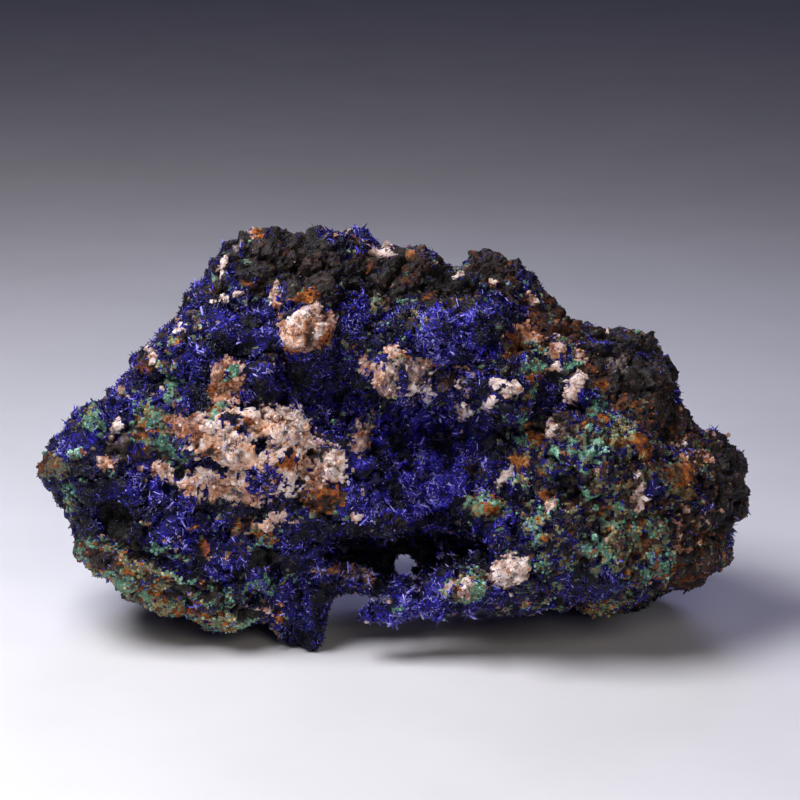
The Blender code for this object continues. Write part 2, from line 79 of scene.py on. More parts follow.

# Patches of the face, laid one over another. Each is a mineral, its middle across and down in points
# of the front view, half its width and height, its turn in degrees, the share of it that is covered,
# how rusty and how pale it is, mostly from 0 to 1, and how many millimetres it stands proud.
# Sunken patches with low paleness, and the cave under the basin, are painted shade.
PATCHES = (
    # The dark crest.
    (GOSSAN, 300, 262, 48, 34, 8, 0.93, 0.25, 0.45, 0.8),
    (GOSSAN, 262, 262, 30, 38, -30, 0.8, 0.3, 0.4, 0.3),
    (GOSSAN, 385, 272, 54, 28, 5, 0.76, 0.35, 0.35, 0.2),
    (GOSSAN, 450, 288, 30, 34, 0, 0.8, 0.3, 0.3, 0.0),
    (GOSSAN, 492, 262, 28, 24, 25, 0.8, 0.5, 0.4, 0.4),
    (GOSSAN, 520, 292, 34, 12, 35, 0.6, 0.45, 0.4, 0.2),
    (GOSSAN, 222, 272, 12, 36, 32, 0.6, 0.3, 0.45, 0.1),
    (GOSSAN, 318, 296, 34, 12, 5, 0.8, 0.2, 0.5, 0.2),
    (AZURITE, 355, 247, 11, 10, 0, 0.7, 0.1, 0.5, 0.4),
    (LIMONITE, 357, 241, 8, 3, 0, 0.6, 0.5, 0.4, 0.0),
    (CALCITE, 385, 247, 20, 6, 5, 0.45, 0.3, 0.9, 0.2),
    (LIMONITE, 411, 256, 8, 4, 10, 0.7, 0.5, 0.75, 0.2),
    (LIMONITE, 408, 279, 10, 12, 10, 0.75, 0.35, 0.25, 0.3),
    (LIMONITE, 430, 296, 7, 6, 0, 0.7, 0.6, 0.4, 0.2),
    (LIMONITE, 372, 262, 5, 7, 10, 0.6, 0.5, 0.4, 0.0),
    (GOSSAN, 426, 250, 10, 6, 0, 0.9, 0.3, 0.75, 0.6),
    (CALCITE, 462, 270, 6, 5, 30, 0.8, 0.1, 1.0, 0.3),
    (LIMONITE, 474, 250, 8, 7, 0, 0.75, 0.45, 0.3, 0.5),
    (LIMONITE, 503, 259, 9, 5, 25, 0.7, 0.5, 0.4, 0.4),
    (CALCITE, 493, 281, 5, 3, 0, 0.8, 0.3, 0.95, 0.2),
    (CALCITE, 258, 231, 9, 5, -10, 0.75, 0.5, 0.8, 0.3),
    (LIMONITE, 260, 233, 5, 4, 0, 0.85, 0.8, 0.6, 0.3),
    (GOSSAN, 237, 247, 10, 5, -45, 0.8, 0.1, 1.0, 0.3),
    (CALCITE, 222, 266, 12, 4, -55, 0.5, 0.25, 0.9, 0.1),
    (CALCITE, 226, 297, 16, 5, -15, 0.6, 0.15, 0.95, 0.2),
    (GOSSAN, 199, 314, 8, 7, -20, 0.75, 0.1, 0.95, 0.4),
    (LIMONITE, 250, 260, 6, 4, 0, 0.7, 0.5, 0.5, 0.0),
    (LIMONITE, 247, 282, 9, 4, 15, 0.65, 0.45, 0.45, 0.0),
    (CALCITE, 277, 297, 4, 12, 10, 0.8, 0.5, 0.7, 0.4),
    (LIMONITE, 310, 299, 14, 8, 0, 0.9, 0.75, 0.6, 1.0),
    (MALACHITE, 388, 303, 22, 7, 5, 0.4, 0.5, 0.6, 0.1),
    (MALACHITE, 402, 299, 6, 3, 0, 0.9, 0.0, 0.9, 0.2),
    # The pale knob under the crest and the lumps beside it.
    (CALCITE, 306, 331, 25, 19, 5, 0.9, 0.5, 0.5, 2.0),
    (CALCITE, 315, 313, 8, 6, 0, 0.85, 0.45, 0.7, 0.7),
    (CALCITE, 300, 322, 9, 8, -20, 0.9, 0.3, 0.85, 1.0),
    (CALCITE, 282, 328, 5, 4, 0, 0.95, 0.05, 1.0, 0.6),
    (CALCITE, 294, 338, 9, 7, 0, 0.9, 0.35, 0.85, 0.9),
    (CALCITE, 318, 331, 8, 5, -10, 0.9, 0.2, 0.85, 0.9),
    (CALCITE, 329, 325, 6, 9, 0, 0.9, 0.45, 0.65, 0.6),
    # Two dark slots in the knob, sunk and given low paleness as painted shade.
    (CALCITE, 308, 334, 4, 10, 15, 0.9, 0.8, 0.1, -1.2),
    (CALCITE, 321, 320, 3, 7, 40, 0.9, 0.8, 0.15, -1.0),
    (LIMONITE, 326, 337, 7, 5, -20, 0.8, 0.85, 0.65, 0.3),
    (LIMONITE, 292, 348, 9, 6, 0, 0.9, 0.85, 0.6, 0.4),
    (CALCITE, 403, 374, 18, 18, 0, 0.88, 0.05, 0.42, 1.2),
    (AZURITE, 401, 378, 4, 14, 5, 0.6, 0.0, 0.6, 0.0),
    (CALCITE, 367, 367, 7, 9, 0, 0.9, 0.35, 0.55, 0.8),
    (CALCITE, 384, 380, 9, 17, -8, 0.9, 0.2, 0.6, 0.9),
    (CALCITE, 399, 353, 11, 8, 20, 0.85, 0.45, 0.8, 0.8),
    (LIMONITE, 406, 357, 6, 5, 0, 0.8, 0.8, 0.6, 0.3),
    (CALCITE, 423, 361, 7, 10, 10, 0.85, 0.35, 0.45, 0.6),
    (LIMONITE, 436, 361, 6, 6, 0, 0.9, 0.85, 0.6, 0.3),
    (CALCITE, 434, 375, 7, 5, 0, 0.9, 0.15, 0.9, 0.6),
    (CALCITE, 414, 385, 9, 6, -25, 0.95, 0.0, 1.0, 0.9),
    (CALCITE, 403, 393, 8, 4, -20, 0.85, 0.25, 0.9, 0.4),
    (CALCITE, 427, 389, 7, 7, 0, 0.9, 0.05, 0.95, 0.6),
    (GOSSAN, 449, 378, 12, 11, -30, 0.85, 0.35, 0.65, 0.4),
    (CALCITE, 461, 365, 7, 5, 0, 0.8, 0.35, 0.7, 0.5),
    (CALCITE, 459, 381, 4, 4, 0, 0.95, 0.0, 1.0, 0.5),
    (GOSSAN, 471, 377, 6, 9, 0, 0.85, 0.2, 0.95, 0.5),
    (CALCITE, 467, 391, 3, 4, 0, 0.85, 0.4, 0.8, 0.3),
    (LIMONITE, 389, 395, 6, 3, 0, 0.8, 0.8, 0.6, 0.2),
    (CALCITE, 500, 383, 7, 6, 0, 0.95, 0.1, 1.0, 1.4),
    (CALCITE, 513, 391, 8, 9, 20, 0.95, 0.3, 0.9, 1.4),
    (CALCITE, 491, 402, 9, 6, -15, 0.95, 0.1, 1.0, 1.4),
    (CALCITE, 463, 408, 8, 7, 0, 0.9, 0.2, 0.9, 1.0),
    (CALCITE, 365, 423, 8, 5, 0, 0.7, 0.4, 0.7, 0.4),
    (CALCITE, 272, 416, 7, 9, 0, 0.8, 0.4, 0.75, 0.5),
    # The blue dome and the granular slope right of it.
    (AZURITE, 450, 336, 46, 26, 5, 0.97, 0.1, 1.2, 1.4),
    (MALACHITE, 417, 320, 9, 9, 0, 0.7, 0.6, 0.5, 0.3),
    (GOSSAN, 411, 328, 7, 10, 20, 0.7, 0.3, 0.3, -0.4),
    (LIMONITE, 562, 321, 32, 20, 30, 0.75, 0.35, 0.35, 0.3),
    (GOSSAN, 575, 318, 24, 16, 30, 0.45, 0.45, 0.35, 0.2),
    (CALCITE, 526, 338, 20, 12, 10, 0.75, 0.75, 0.6, 0.6),
    (LIMONITE, 513, 347, 10, 10, 0, 0.8, 0.75, 0.5, 0.3),
    (MALACHITE, 535, 350, 12, 5, 5, 0.7, 0.1, 0.85, 0.2),
    (CALCITE, 556, 335, 5, 6, 0, 0.85, 0.2, 0.75, 0.5),
    (CALCITE, 556, 354, 12, 7, -10, 0.8, 0.55, 0.7, 0.5),
    (CALCITE, 558, 367, 8, 4, 0, 0.9, 0.3, 0.95, 0.6),
    (CALCITE, 581, 359, 6, 8, -30, 0.85, 0.5, 0.85, 0.5),
    (MALACHITE, 533, 368, 18, 8, 0, 0.75, 0.15, 0.65, 0.4),
    (LIMONITE, 536, 377, 12, 5, 0, 0.7, 0.75, 0.6, 0.3),
    (MALACHITE, 573, 365, 8, 5, 0, 0.8, 0.0, 0.7, 0.3),
    (AZURITE, 554, 388, 15, 17, 0, 0.95, 0.0, 0.35, -0.8),
    (CALCITE, 576, 389, 7, 15, 22, 0.9, 0.15, 0.8, 1.4),
    (AZURITE, 587, 402, 7, 11, 0, 0.9, 0.0, 0.7, 0.0),
    (MALACHITE, 529, 394, 5, 9, 0, 0.75, 0.1, 0.7, 0.3),
    (MALACHITE, 524, 420, 8, 7, 0, 0.75, 0.3, 0.7, 0.4),
    (LIMONITE, 529, 424, 6, 5, 0, 0.7, 0.8, 0.6, 0.3),
    (MALACHITE, 596, 408, 8, 10, 0, 0.6, 0.1, 0.6, 0.3),
    (GOSSAN, 553, 428, 18, 11, 0, 0.8, 0.2, 0.7, 0.5),
    (CALCITE, 550, 426, 3, 6, 0, 0.9, 0.4, 0.95, 0.3),
    (CALCITE, 546, 434, 9, 4, 20, 0.8, 0.1, 0.95, 0.3),
    # The blocky shoulder and the dark right edge.
    (GOSSAN, 634, 360, 50, 46, 35, 0.95, 0.32, 0.4, 0.4),
    (GOSSAN, 662, 400, 34, 42, -10, 0.9, 0.4, 0.35, 0.3),
    (LIMONITE, 616, 392, 44, 9, 38, 0.5, 0.45, 0.5, 0.3),
    (GOSSAN, 618, 365, 10, 11, 20, 0.9, 0.15, 0.95, 0.3),
    (LIMONITE, 631, 405, 20, 6, 0, 0.75, 0.45, 0.35, 0.5),
    (AZURITE, 646, 361, 9, 5, 0, 0.7, 0.0, 0.4, 0.0),
    (AZURITE, 606, 350, 8, 5, 0, 0.7, 0.0, 0.5, 0.0),
    (AZURITE, 678, 392, 9, 12, 0, 0.75, 0.0, 0.4, 0.0),
    (LIMONITE, 692, 409, 5, 7, 30, 0.6, 0.4, 0.4, 0.0),
    (CALCITE, 713, 436, 5, 6, -20, 0.9, 0.4, 0.8, 0.8),
    (GOSSAN, 730, 490, 20, 66, -8, 0.94, 0.4, 0.3, 0.3),
    (LIMONITE, 739, 482, 5, 6, 0, 0.6, 0.35, 0.3, 0.0),
    (GOSSAN, 700, 540, 34, 46, 10, 0.5, 0.3, 0.3, 0.0),
    (LIMONITE, 700, 480, 24, 46, 5, 0.3, 0.5, 0.45, 0.0),
    (CALCITE, 694, 452, 24, 22, 0, 0.1, 0.5, 0.8, 0.0),
    (LIMONITE, 672, 430, 24, 12, 15, 0.35, 0.55, 0.5, 0.0),
    (LIMONITE, 700, 552, 32, 34, 0, 0.35, 0.4, 0.35, 0.0),
    (CALCITE, 700, 524, 26, 26, 0, 0.07, 0.5, 0.75, 0.0),
    (LIMONITE, 693, 581, 20, 7, -10, 0.8, 0.4, 0.3, 0.3),
    (CALCITE, 682, 548, 10, 7, 0, 0.7, 0.7, 0.7, 0.5),
    (CALCITE, 707, 458, 5, 4, 0, 0.7, 0.6, 0.8, 0.2),
    (MALACHITE, 679, 480, 19, 22, 10, 0.8, 0.6, 0.6, 0.6),
    (LIMONITE, 683, 474, 13, 15, 0, 0.85, 0.7, 0.65, 1.2),
    (AZURITE, 700, 505, 10, 14, 0, 0.45, 0.0, 0.45, 0.0),
    # The mixed right half.
    (MALACHITE, 588, 450, 24, 24, 0, 0.55, 0.1, 0.7, 0.5),
    (MALACHITE, 600, 448, 10, 8, 0, 0.9, 0.0, 0.95, 0.6),
    (MALACHITE, 560, 452, 6, 6, 0, 0.9, 0.05, 0.95, 0.5),
    (MALACHITE, 614, 424, 16, 10, 20, 0.7, 0.3, 0.7, 0.3),
    (LIMONITE, 604, 420, 5, 5, 0, 0.8, 0.8, 0.6, 0.3),
    (MALACHITE, 622, 438, 15, 12, 10, 0.92, 0.5, 0.85, 0.7),
    (LIMONITE, 645, 449, 7, 18, -28, 0.9, 0.75, 0.5, 0.8),
    (LIMONITE, 641, 424, 9, 4, 0, 0.75, 0.6, 0.4, 0.3),
    (LIMONITE, 529, 441, 10, 8, 0, 0.8, 0.7, 0.55, 0.5),
    (MALACHITE, 522, 442, 4, 7, 0, 0.8, 0.0, 0.8, 0.2),
    (LIMONITE, 521, 460, 10, 8, -10, 0.85, 0.55, 0.75, 0.8),
    (CALCITE, 509, 476, 6, 10, 20, 0.95, 0.05, 1.0, 1.0),
    (MALACHITE, 522, 479, 7, 8, 0, 0.85, 0.4, 0.85, 0.5),
    (LIMONITE, 542, 470, 7, 4, -20, 0.7, 0.6, 0.6, 0.3),
    (LIMONITE, 549, 491, 8, 6, 0, 0.95, 0.85, 0.65, 0.8),
    (MALACHITE, 553, 503, 12, 8, 10, 0.75, 0.35, 0.8, 0.6),
    (CALCITE, 552, 508, 5, 4, 0, 0.8, 0.4, 0.9, 0.3),
    (CALCITE, 637, 475, 5, 5, 0, 0.95, 0.0, 1.0, 0.8),
    (LIMONITE, 623, 483, 9, 6, -10, 0.9, 0.8, 0.6, 0.5),
    (CALCITE, 641, 497, 6, 15, -10, 0.85, 0.5, 0.8, 0.8),
    (MALACHITE, 626, 502, 8, 7, 0, 0.9, 0.05, 0.85, 0.5),
    (AZURITE, 656, 490, 10, 11, 0, 0.9, 0.0, 0.5, -0.5),
    (MALACHITE, 590, 498, 14, 12, 0, 0.6, 0.05, 0.75, 0.4),
    (LIMONITE, 606, 514, 9, 10, -30, 0.65, 0.6, 0.5, 0.4),
    (MALACHITE, 608, 522, 10, 6, 0, 0.7, 0.2, 0.7, 0.3),
    (MALACHITE, 642, 540, 34, 30, 10, 0.5, 0.5, 0.6, 0.0),
    (MALACHITE, 632, 526, 20, 10, 0, 0.85, 0.45, 0.7, 0.6),
    (MALACHITE, 655, 532, 14, 13, 0, 0.8, 0.35, 0.65, 0.5),
    (MALACHITE, 660, 556, 16, 18, 0, 0.75, 0.5, 0.65, 0.3),
    (LIMONITE, 643, 545, 9, 12, 0, 0.6, 0.4, 0.45, 0.2),
    (MALACHITE, 598, 551, 19, 16, 10, 0.75, 0.1, 0.75, 0.7),
    (MALACHITE, 589, 545, 7, 8, 0, 0.95, 0.0, 1.0, 0.5),
    (MALACHITE, 538, 526, 16, 26, -20, 0.62, 0.25, 0.7, 0.3),
    (LIMONITE, 549, 535, 7, 5, 20, 0.85, 0.85, 0.6, 0.5),
    (MALACHITE, 541, 529, 5, 4, 0, 0.9, 0.0, 0.8, 0.3),
    (AZURITE, 594, 580, 40, 16, -8, 0.8, 0.0, 0.5, 0.3),
    (AZURITE, 528, 575, 8, 6, 0, 0.9, 0.0, 0.3, -0.4),
    (CALCITE, 512, 570, 20, 16, -25, 0.85, 0.3, 0.85, 1.2),
    (MALACHITE, 545, 563, 11, 10, 0, 0.8, 0.2, 0.7, 0.7),
    (MALACHITE, 655, 567, 30, 10, -22, 0.85, 0.25, 0.65, 0.5),
    (MALACHITE, 655, 576, 13, 6, -20, 0.95, 0.0, 0.8, 0.4),
    (LIMONITE, 668, 572, 16, 5, -18, 0.35, 0.75, 0.55, 0.2),
    (MALACHITE, 603, 608, 18, 9, -15, 0.75, 0.55, 0.65, 0.4),
    (LIMONITE, 600, 614, 14, 6, -10, 0.5, 0.6, 0.5, 0.2),
    (MALACHITE, 538, 601, 20, 5, 0, 0.55, 0.55, 0.6, 0.2),
    # The basin, the lip under it and the olive lump between them.
    (AZURITE, 420, 470, 74, 64, 0, 0.97, 0.0, 0.78, 0.0),
    # The cave under the basin: paleness 0 paints it dark as painted shade.
    (AZURITE, 405, 555, 84, 24, 0, 0.97, 0.0, 0.0, 0.0),
    (GOSSAN, 395, 527, 18, 12, 10, 0.6, 0.2, 0.6, 0.2),
    (GOSSAN, 478, 470, 14, 12, 0, 0.55, 0.3, 0.3, -0.4),
    (MALACHITE, 421, 460, 3, 3, 0, 1.0, 0.4, 1.0, 0.4),
    (MALACHITE, 486, 478, 3, 3, 0, 1.0, 0.0, 0.9, 0.4),
    (MALACHITE, 489, 506, 20, 14, 5, 0.92, 0.4, 0.75, 1.3),
    (LIMONITE, 491, 508, 6, 4, 0, 0.9, 0.9, 0.55, 0.3),
    (MALACHITE, 487, 500, 9, 4, 10, 0.8, 0.0, 0.95, 0.2),
    (AZURITE, 420, 605, 70, 24, -12, 0.94, 0.0, 0.8, 0.0),
    (MALACHITE, 469, 586, 26, 14, -14, 0.72, 0.4, 0.75, 0.6),
    (CALCITE, 470, 582, 22, 10, -14, 0.3, 0.5, 0.85, 0.3),
    (LIMONITE, 462, 590, 26, 10, -14, 0.22, 0.8, 0.5, 0.2),
    (MALACHITE, 400, 607, 10, 5, 0, 0.4, 0.1, 0.8, 0.2),
    (GOSSAN, 350, 573, 28, 9, 16, 0.7, 0.45, 0.8, 0.3),
    (CALCITE, 357, 517, 8, 5, -20, 0.85, 0.4, 0.9, 0.5),
    # The calcite patch left of the basin.
    (CALCITE, 262, 448, 74, 40, 14, 0.9, 0.5, 0.92, 0.9),
    (CALCITE, 229, 382, 19, 30, 12, 0.8, 0.72, 0.62, 0.6),
    (LIMONITE, 213, 392, 7, 20, 15, 0.6, 0.7, 0.5, 0.2),
    (CALCITE, 226, 486, 48, 17, 8, 0.88, 0.5, 0.78, 0.7),
    (CALCITE, 290, 424, 22, 22, 0, 0.85, 0.35, 0.85, 0.7),
    (LIMONITE, 285, 459, 20, 9, -10, 0.8, 0.85, 0.6, 0.4),
    (LIMONITE, 322, 498, 24, 14, 5, 0.85, 0.8, 0.45, 0.4),
    (LIMONITE, 320, 505, 22, 9, 0, 0.5, 0.5, 0.0, -0.5),
    (CALCITE, 292, 482, 9, 14, 0, 0.95, 0.15, 1.0, 0.8),
    (CALCITE, 318, 476, 16, 12, 0, 0.75, 0.5, 0.55, 0.3),
    (GOSSAN, 323, 450, 15, 8, 10, 0.85, 0.05, 0.75, 0.0),
    (CALCITE, 338, 462, 14, 20, 0, 0.9, 0.3, 0.85, 0.9),
    (CALCITE, 365, 436, 9, 20, 12, 0.9, 0.4, 0.45, 0.9),
    (LIMONITE, 200, 398, 5, 6, 0, 0.8, 0.8, 0.6, 0.3),
    (CALCITE, 186, 428, 14, 10, 0, 0.85, 0.6, 0.55, 0.5),
    (CALCITE, 165, 471, 16, 10, 25, 0.85, 0.45, 0.75, 0.6),
    (LIMONITE, 242, 425, 22, 6, 20, 0.5, 0.7, 0.5, 0.1),
    (LIMONITE, 215, 445, 18, 5, -30, 0.45, 0.6, 0.4, 0.1),
    (AZURITE, 216, 466, 15, 5, 8, 0.97, 0.0, 0.35, -2.2),
    (AZURITE, 183, 467, 6, 9, 0, 0.95, 0.0, 0.35, -1.6),
    (AZURITE, 261, 445, 9, 8, -35, 0.97, 0.0, 0.1, -2.6),
    (AZURITE, 264, 480, 15, 18, 10, 0.7, 0.0, 0.6, 0.0),
    (AZURITE, 234, 424, 18, 6, 30, 0.4, 0.0, 0.55, 0.0),
    (AZURITE, 192, 490, 14, 6, 0, 0.45, 0.0, 0.6, 0.0),
    (AZURITE, 286, 470, 30, 30, 0, 0.1, 0.0, 0.6, 0.0),
    (MALACHITE, 233, 374, 4, 13, 25, 0.9, 0.15, 0.75, 0.4),
    (MALACHITE, 219, 412, 13, 6, -35, 0.8, 0.2, 0.75, 0.4),
    (MALACHITE, 238, 489, 9, 4, 0, 0.9, 0.0, 0.95, 0.4),
    (MALACHITE, 183, 497, 5, 4, 0, 0.85, 0.0, 0.85, 0.2),
    (CALCITE, 265, 521, 26, 6, -20, 0.65, 0.4, 0.8, 0.5),
    (LIMONITE, 242, 523, 12, 5, -20, 0.6, 0.85, 0.55, 0.3),
    (MALACHITE, 250, 535, 26, 12, 10, 0.5, 0.3, 0.65, 0.3),
    (LIMONITE, 262, 538, 16, 10, 10, 0.25, 0.8, 0.5, 0.1),
    # The green patch and the slope above it.
    (MALACHITE, 150, 425, 24, 23, 20, 0.85, 0.4, 0.6, 0.8),
    (MALACHITE, 173, 447, 22, 12, 35, 0.8, 0.15, 0.5, 0.5),
    (CALCITE, 188, 424, 19, 13, 0, 0.9, 0.75, 0.5, 0.8),
    (CALCITE, 199, 414, 7, 7, 0, 0.9, 0.1, 0.6, 0.5),
    (LIMONITE, 143, 430, 12, 9, 0, 0.6, 0.7, 0.5, 0.2),
    (MALACHITE, 175, 392, 12, 17, -20, 0.75, 0.05, 0.65, 0.4),
    (MALACHITE, 164, 365, 11, 9, -20, 0.75, 0.4, 0.8, 0.4),
    (LIMONITE, 146, 364, 9, 7, -30, 0.85, 0.55, 0.35, 0.4),
    (CALCITE, 154, 351, 6, 6, -30, 0.9, 0.3, 0.9, 0.4),
    (CALCITE, 184, 327, 4, 4, 0, 0.95, 0.1, 1.0, 0.5),
    (MALACHITE, 176, 342, 10, 5, -30, 0.6, 0.5, 0.75, 0.3),
    (MALACHITE, 199, 327, 4, 3, -20, 1.0, 0.1, 0.95, 0.3),
    (CALCITE, 244, 318, 4, 7, 0, 0.9, 0.45, 0.7, 0.3),
    (LIMONITE, 186, 337, 6, 4, 0, 0.5, 0.5, 0.3, 0.0),
    (AZURITE, 245, 328, 38, 22, 0, 0.93, 0.0, 0.72, 0.0),
    (AZURITE, 232, 348, 24, 11, 10, 0.97, 0.0, 0.1, -2.2),
    (AZURITE, 198, 360, 18, 14, -20, 0.9, 0.0, 0.68, 0.3),
    (AZURITE, 150, 383, 16, 12, -25, 0.95, 0.0, 0.15, -1.6),
    (AZURITE, 193, 396, 13, 14, 0, 0.9, 0.0, 0.5, 0.2),
    (AZURITE, 320, 385, 50, 20, 0, 0.95, 0.0, 0.35, -0.6),
    # The left wing.
    (AZURITE, 118, 412, 22, 14, -25, 0.85, 0.0, 0.5, 0.2),
    (MALACHITE, 94, 418, 10, 15, 20, 0.7, 0.4, 0.65, 0.3),
    (LIMONITE, 90, 414, 4, 4, 0, 0.8, 0.8, 0.65, 0.2),
    (GOSSAN, 118, 447, 12, 17, 5, 0.9, 0.1, 0.7, 0.8),
    (CALCITE, 116, 426, 7, 4, 0, 0.8, 0.2, 0.85, 0.3),
    (AZURITE, 76, 443, 26, 11, -15, 0.9, 0.0, 0.55, 0.2),
    (MALACHITE, 78, 451, 8, 4, 10, 0.9, 0.05, 0.95, 0.3),
    (CALCITE, 108, 461, 10, 7, 20, 0.85, 0.65, 0.7, 0.4),
    (MALACHITE, 111, 473, 8, 8, 0, 0.98, 0.0, 1.0, 0.7),
    (MALACHITE, 110, 497, 4, 3, 0, 1.0, 0.0, 0.9, 0.3),
    (MALACHITE, 53, 465, 19, 13, 12, 0.85, 0.65, 0.35, 0.4),
    (LIMONITE, 42, 463, 7, 8, 0, 0.6, 0.5, 0.35, 0.2),
    (AZURITE, 140, 510, 70, 38, 20, 0.95, 0.0, 0.62, 0.0),
    (GOSSAN, 117, 521, 16, 22, -10, 0.8, 0.1, 0.15, -1.6),
    (MALACHITE, 70, 500, 4, 26, -25, 0.75, 0.25, 0.55, 0.4),
    (MALACHITE, 78, 492, 14, 5, 50, 0.6, 0.3, 0.5, 0.2),
    (LIMONITE, 147, 521, 5, 3, 0, 0.9, 0.7, 0.5, 0.2),
    (LIMONITE, 195, 526, 8, 3, 15, 0.85, 0.85, 0.6, 0.3),
    (LIMONITE, 206, 547, 4, 12, -20, 0.8, 0.85, 0.55, 0.3),
    # The ledges along the lower left, dark gossan with green rims.
    (GOSSAN, 150, 586, 92, 30, 28, 0.85, 0.35, 0.4, 0.0),
    (MALACHITE, 142, 588, 88, 25, 31, 0.62, 0.45, 0.65, 0.3),
    (MALACHITE, 115, 578, 46, 7, 36, 0.85, 0.5, 0.7, 0.4),
    (MALACHITE, 190, 612, 50, 7, 20, 0.85, 0.5, 0.7, 0.4),
    (MALACHITE, 88, 546, 20, 12, 15, 0.55, 0.35, 0.5, 0.3),
    (MALACHITE, 75, 552, 7, 16, -20, 0.75, 0.25, 0.5, 0.3),
    (LIMONITE, 105, 553, 13, 3, 25, 0.75, 0.6, 0.5, 0.6),
    (GOSSAN, 105, 562, 26, 8, 32, 0.7, 0.3, 0.5, 0.5),
    (MALACHITE, 112, 570, 34, 4, 36, 0.85, 0.35, 0.75, 0.5),
    (MALACHITE, 168, 552, 20, 3.5, 30, 0.95, 0.0, 0.7, 0.8),
    (MALACHITE, 171, 572, 32, 4, 18, 0.8, 0.3, 0.75, 0.9),
    (AZURITE, 168, 562, 24, 4, 25, 0.85, 0.0, 0.45, -1.0),
    (MALACHITE, 198, 597, 23, 4, 28, 0.85, 0.35, 0.75, 0.9),
    (GOSSAN, 175, 588, 22, 5, 28, 0.8, 0.1, 0.2, -1.0),
    (MALACHITE, 157, 581, 15, 7, 20, 0.7, 0.45, 0.65, 0.5),
    (MALACHITE, 170, 605, 44, 10, 22, 0.7, 0.45, 0.65, 0.2),
    (LIMONITE, 176, 600, 44, 16, 25, 0.15, 0.65, 0.5, 0.1),
    (MALACHITE, 222, 592, 16, 14, 20, 0.6, 0.05, 0.65, 0.3),
    (AZURITE, 224, 573, 28, 10, 15, 0.9, 0.0, 0.7, 0.0),
    (MALACHITE, 237, 580, 8, 7, 0, 0.7, 0.0, 0.75, 0.2),
    (GOSSAN, 265, 558, 15, 12, 0, 0.9, 0.2, 0.15, 0.2),
    (MALACHITE, 262, 590, 18, 12, 0, 0.4, 0.2, 0.6, 0.2),
    (MALACHITE, 236, 621, 20, 12, 10, 0.9, 0.55, 0.85, 0.8),
    (GOSSAN, 248, 616, 11, 12, 0, 0.8, 0.15, 0.5, 0.3),
    (CALCITE, 270, 611, 14, 5, 10, 0.6, 0.6, 0.8, 0.4),
    (AZURITE, 303, 612, 26, 30, 0, 0.92, 0.0, 0.5, 0.0),
    (LIMONITE, 283, 614, 5, 8, 0, 0.7, 0.8, 0.6, 0.2),
    (AZURITE, 310, 545, 34, 24, 0, 0.93, 0.0, 0.42, 0.0),
)

CORNERS = np.array([(i, j, k) for i in (0, 1) for j in (0, 1) for k in (0, 1)])
NEIGHBOURS = np.array([(i, j, k) for i in (-1, 0, 1) for j in (-1, 0, 1) for k in (-1, 0, 1)])


# Repeatable roughness.

def chance(cells, seed):
    """One repeatable number from 0 to 1 for each whole-number cell of space."""
    mixed = cells[..., 0] * 73856093 ^ cells[..., 1] * 19349663 ^ cells[..., 2] * 83492791
    mixed = (mixed ^ (seed * 40503 + 977)).astype(np.uint32)
    mixed = (mixed ^ (mixed >> 16)) * np.uint32(0x7FEB352D)
    mixed = (mixed ^ (mixed >> 15)) * np.uint32(0x846CA68B)
    return (mixed ^ (mixed >> 16)) / 2.0**32


def swells(points, size, seed, octaves=1):
    """Soft unevenness from 0 to 1, its swells this many millimetres apart."""
    total = np.zeros(len(points))
    weights = 0.0
    for octave in range(octaves):
        spots = points / (size * 0.5**octave) + seed * 7.31
        base = np.floor(spots).astype(np.int64)
        part = spots - base
        part = part * part * (3 - 2 * part)
        layer = np.zeros(len(points))
        for corner in CORNERS:
            share = np.prod(np.where(corner, part, 1 - part), axis=1)
            layer += share * chance(base + corner, seed + octave * 31)
        total += layer * 0.5**octave
        weights += 0.5**octave
    return total / weights


def lumps(points, size, seed):
    """Crowded grains: how far each point is from its grain's middle and from its border, the grain's
    number, and the height of the grain's own tilted top."""
    spots = points / size
    base = np.floor(spots).astype(np.int64)
    nearest = np.full(len(points), 9.0)
    second = np.full(len(points), 9.0)
    number = np.zeros(len(points))
    top = np.zeros(len(points))
    for step in NEIGHBOURS:
        cell = base + step
        offset = spots - cell - np.stack([chance(cell, seed + axis) for axis in range(3)], axis=1)
        distance = np.linalg.norm(offset, axis=1)
        closer = distance < nearest
        second = np.where(closer, nearest, np.minimum(second, distance))
        nearest = np.where(closer, distance, nearest)
        own = cell[closer]
        number[closer] = chance(own, seed + 3)
        tilt = np.stack([chance(own, seed + 4 + axis) for axis in range(3)], axis=1) - 0.5
        top[closer] = (offset[closer] * tilt).sum(axis=1)
    return nearest, second - nearest, number, top


def evened(values):
    """The same values spread evenly from 0 to 1, so that a share of them is easy to take."""
    return values.argsort().argsort() / len(values)


def ramp(values, low, high):
    """0 below low, 1 above high and a soft step between them."""
    part = np.clip((values - low) / (high - low), 0, 1)
    return part * part * (3 - 2 * part)


# The rock's skin.

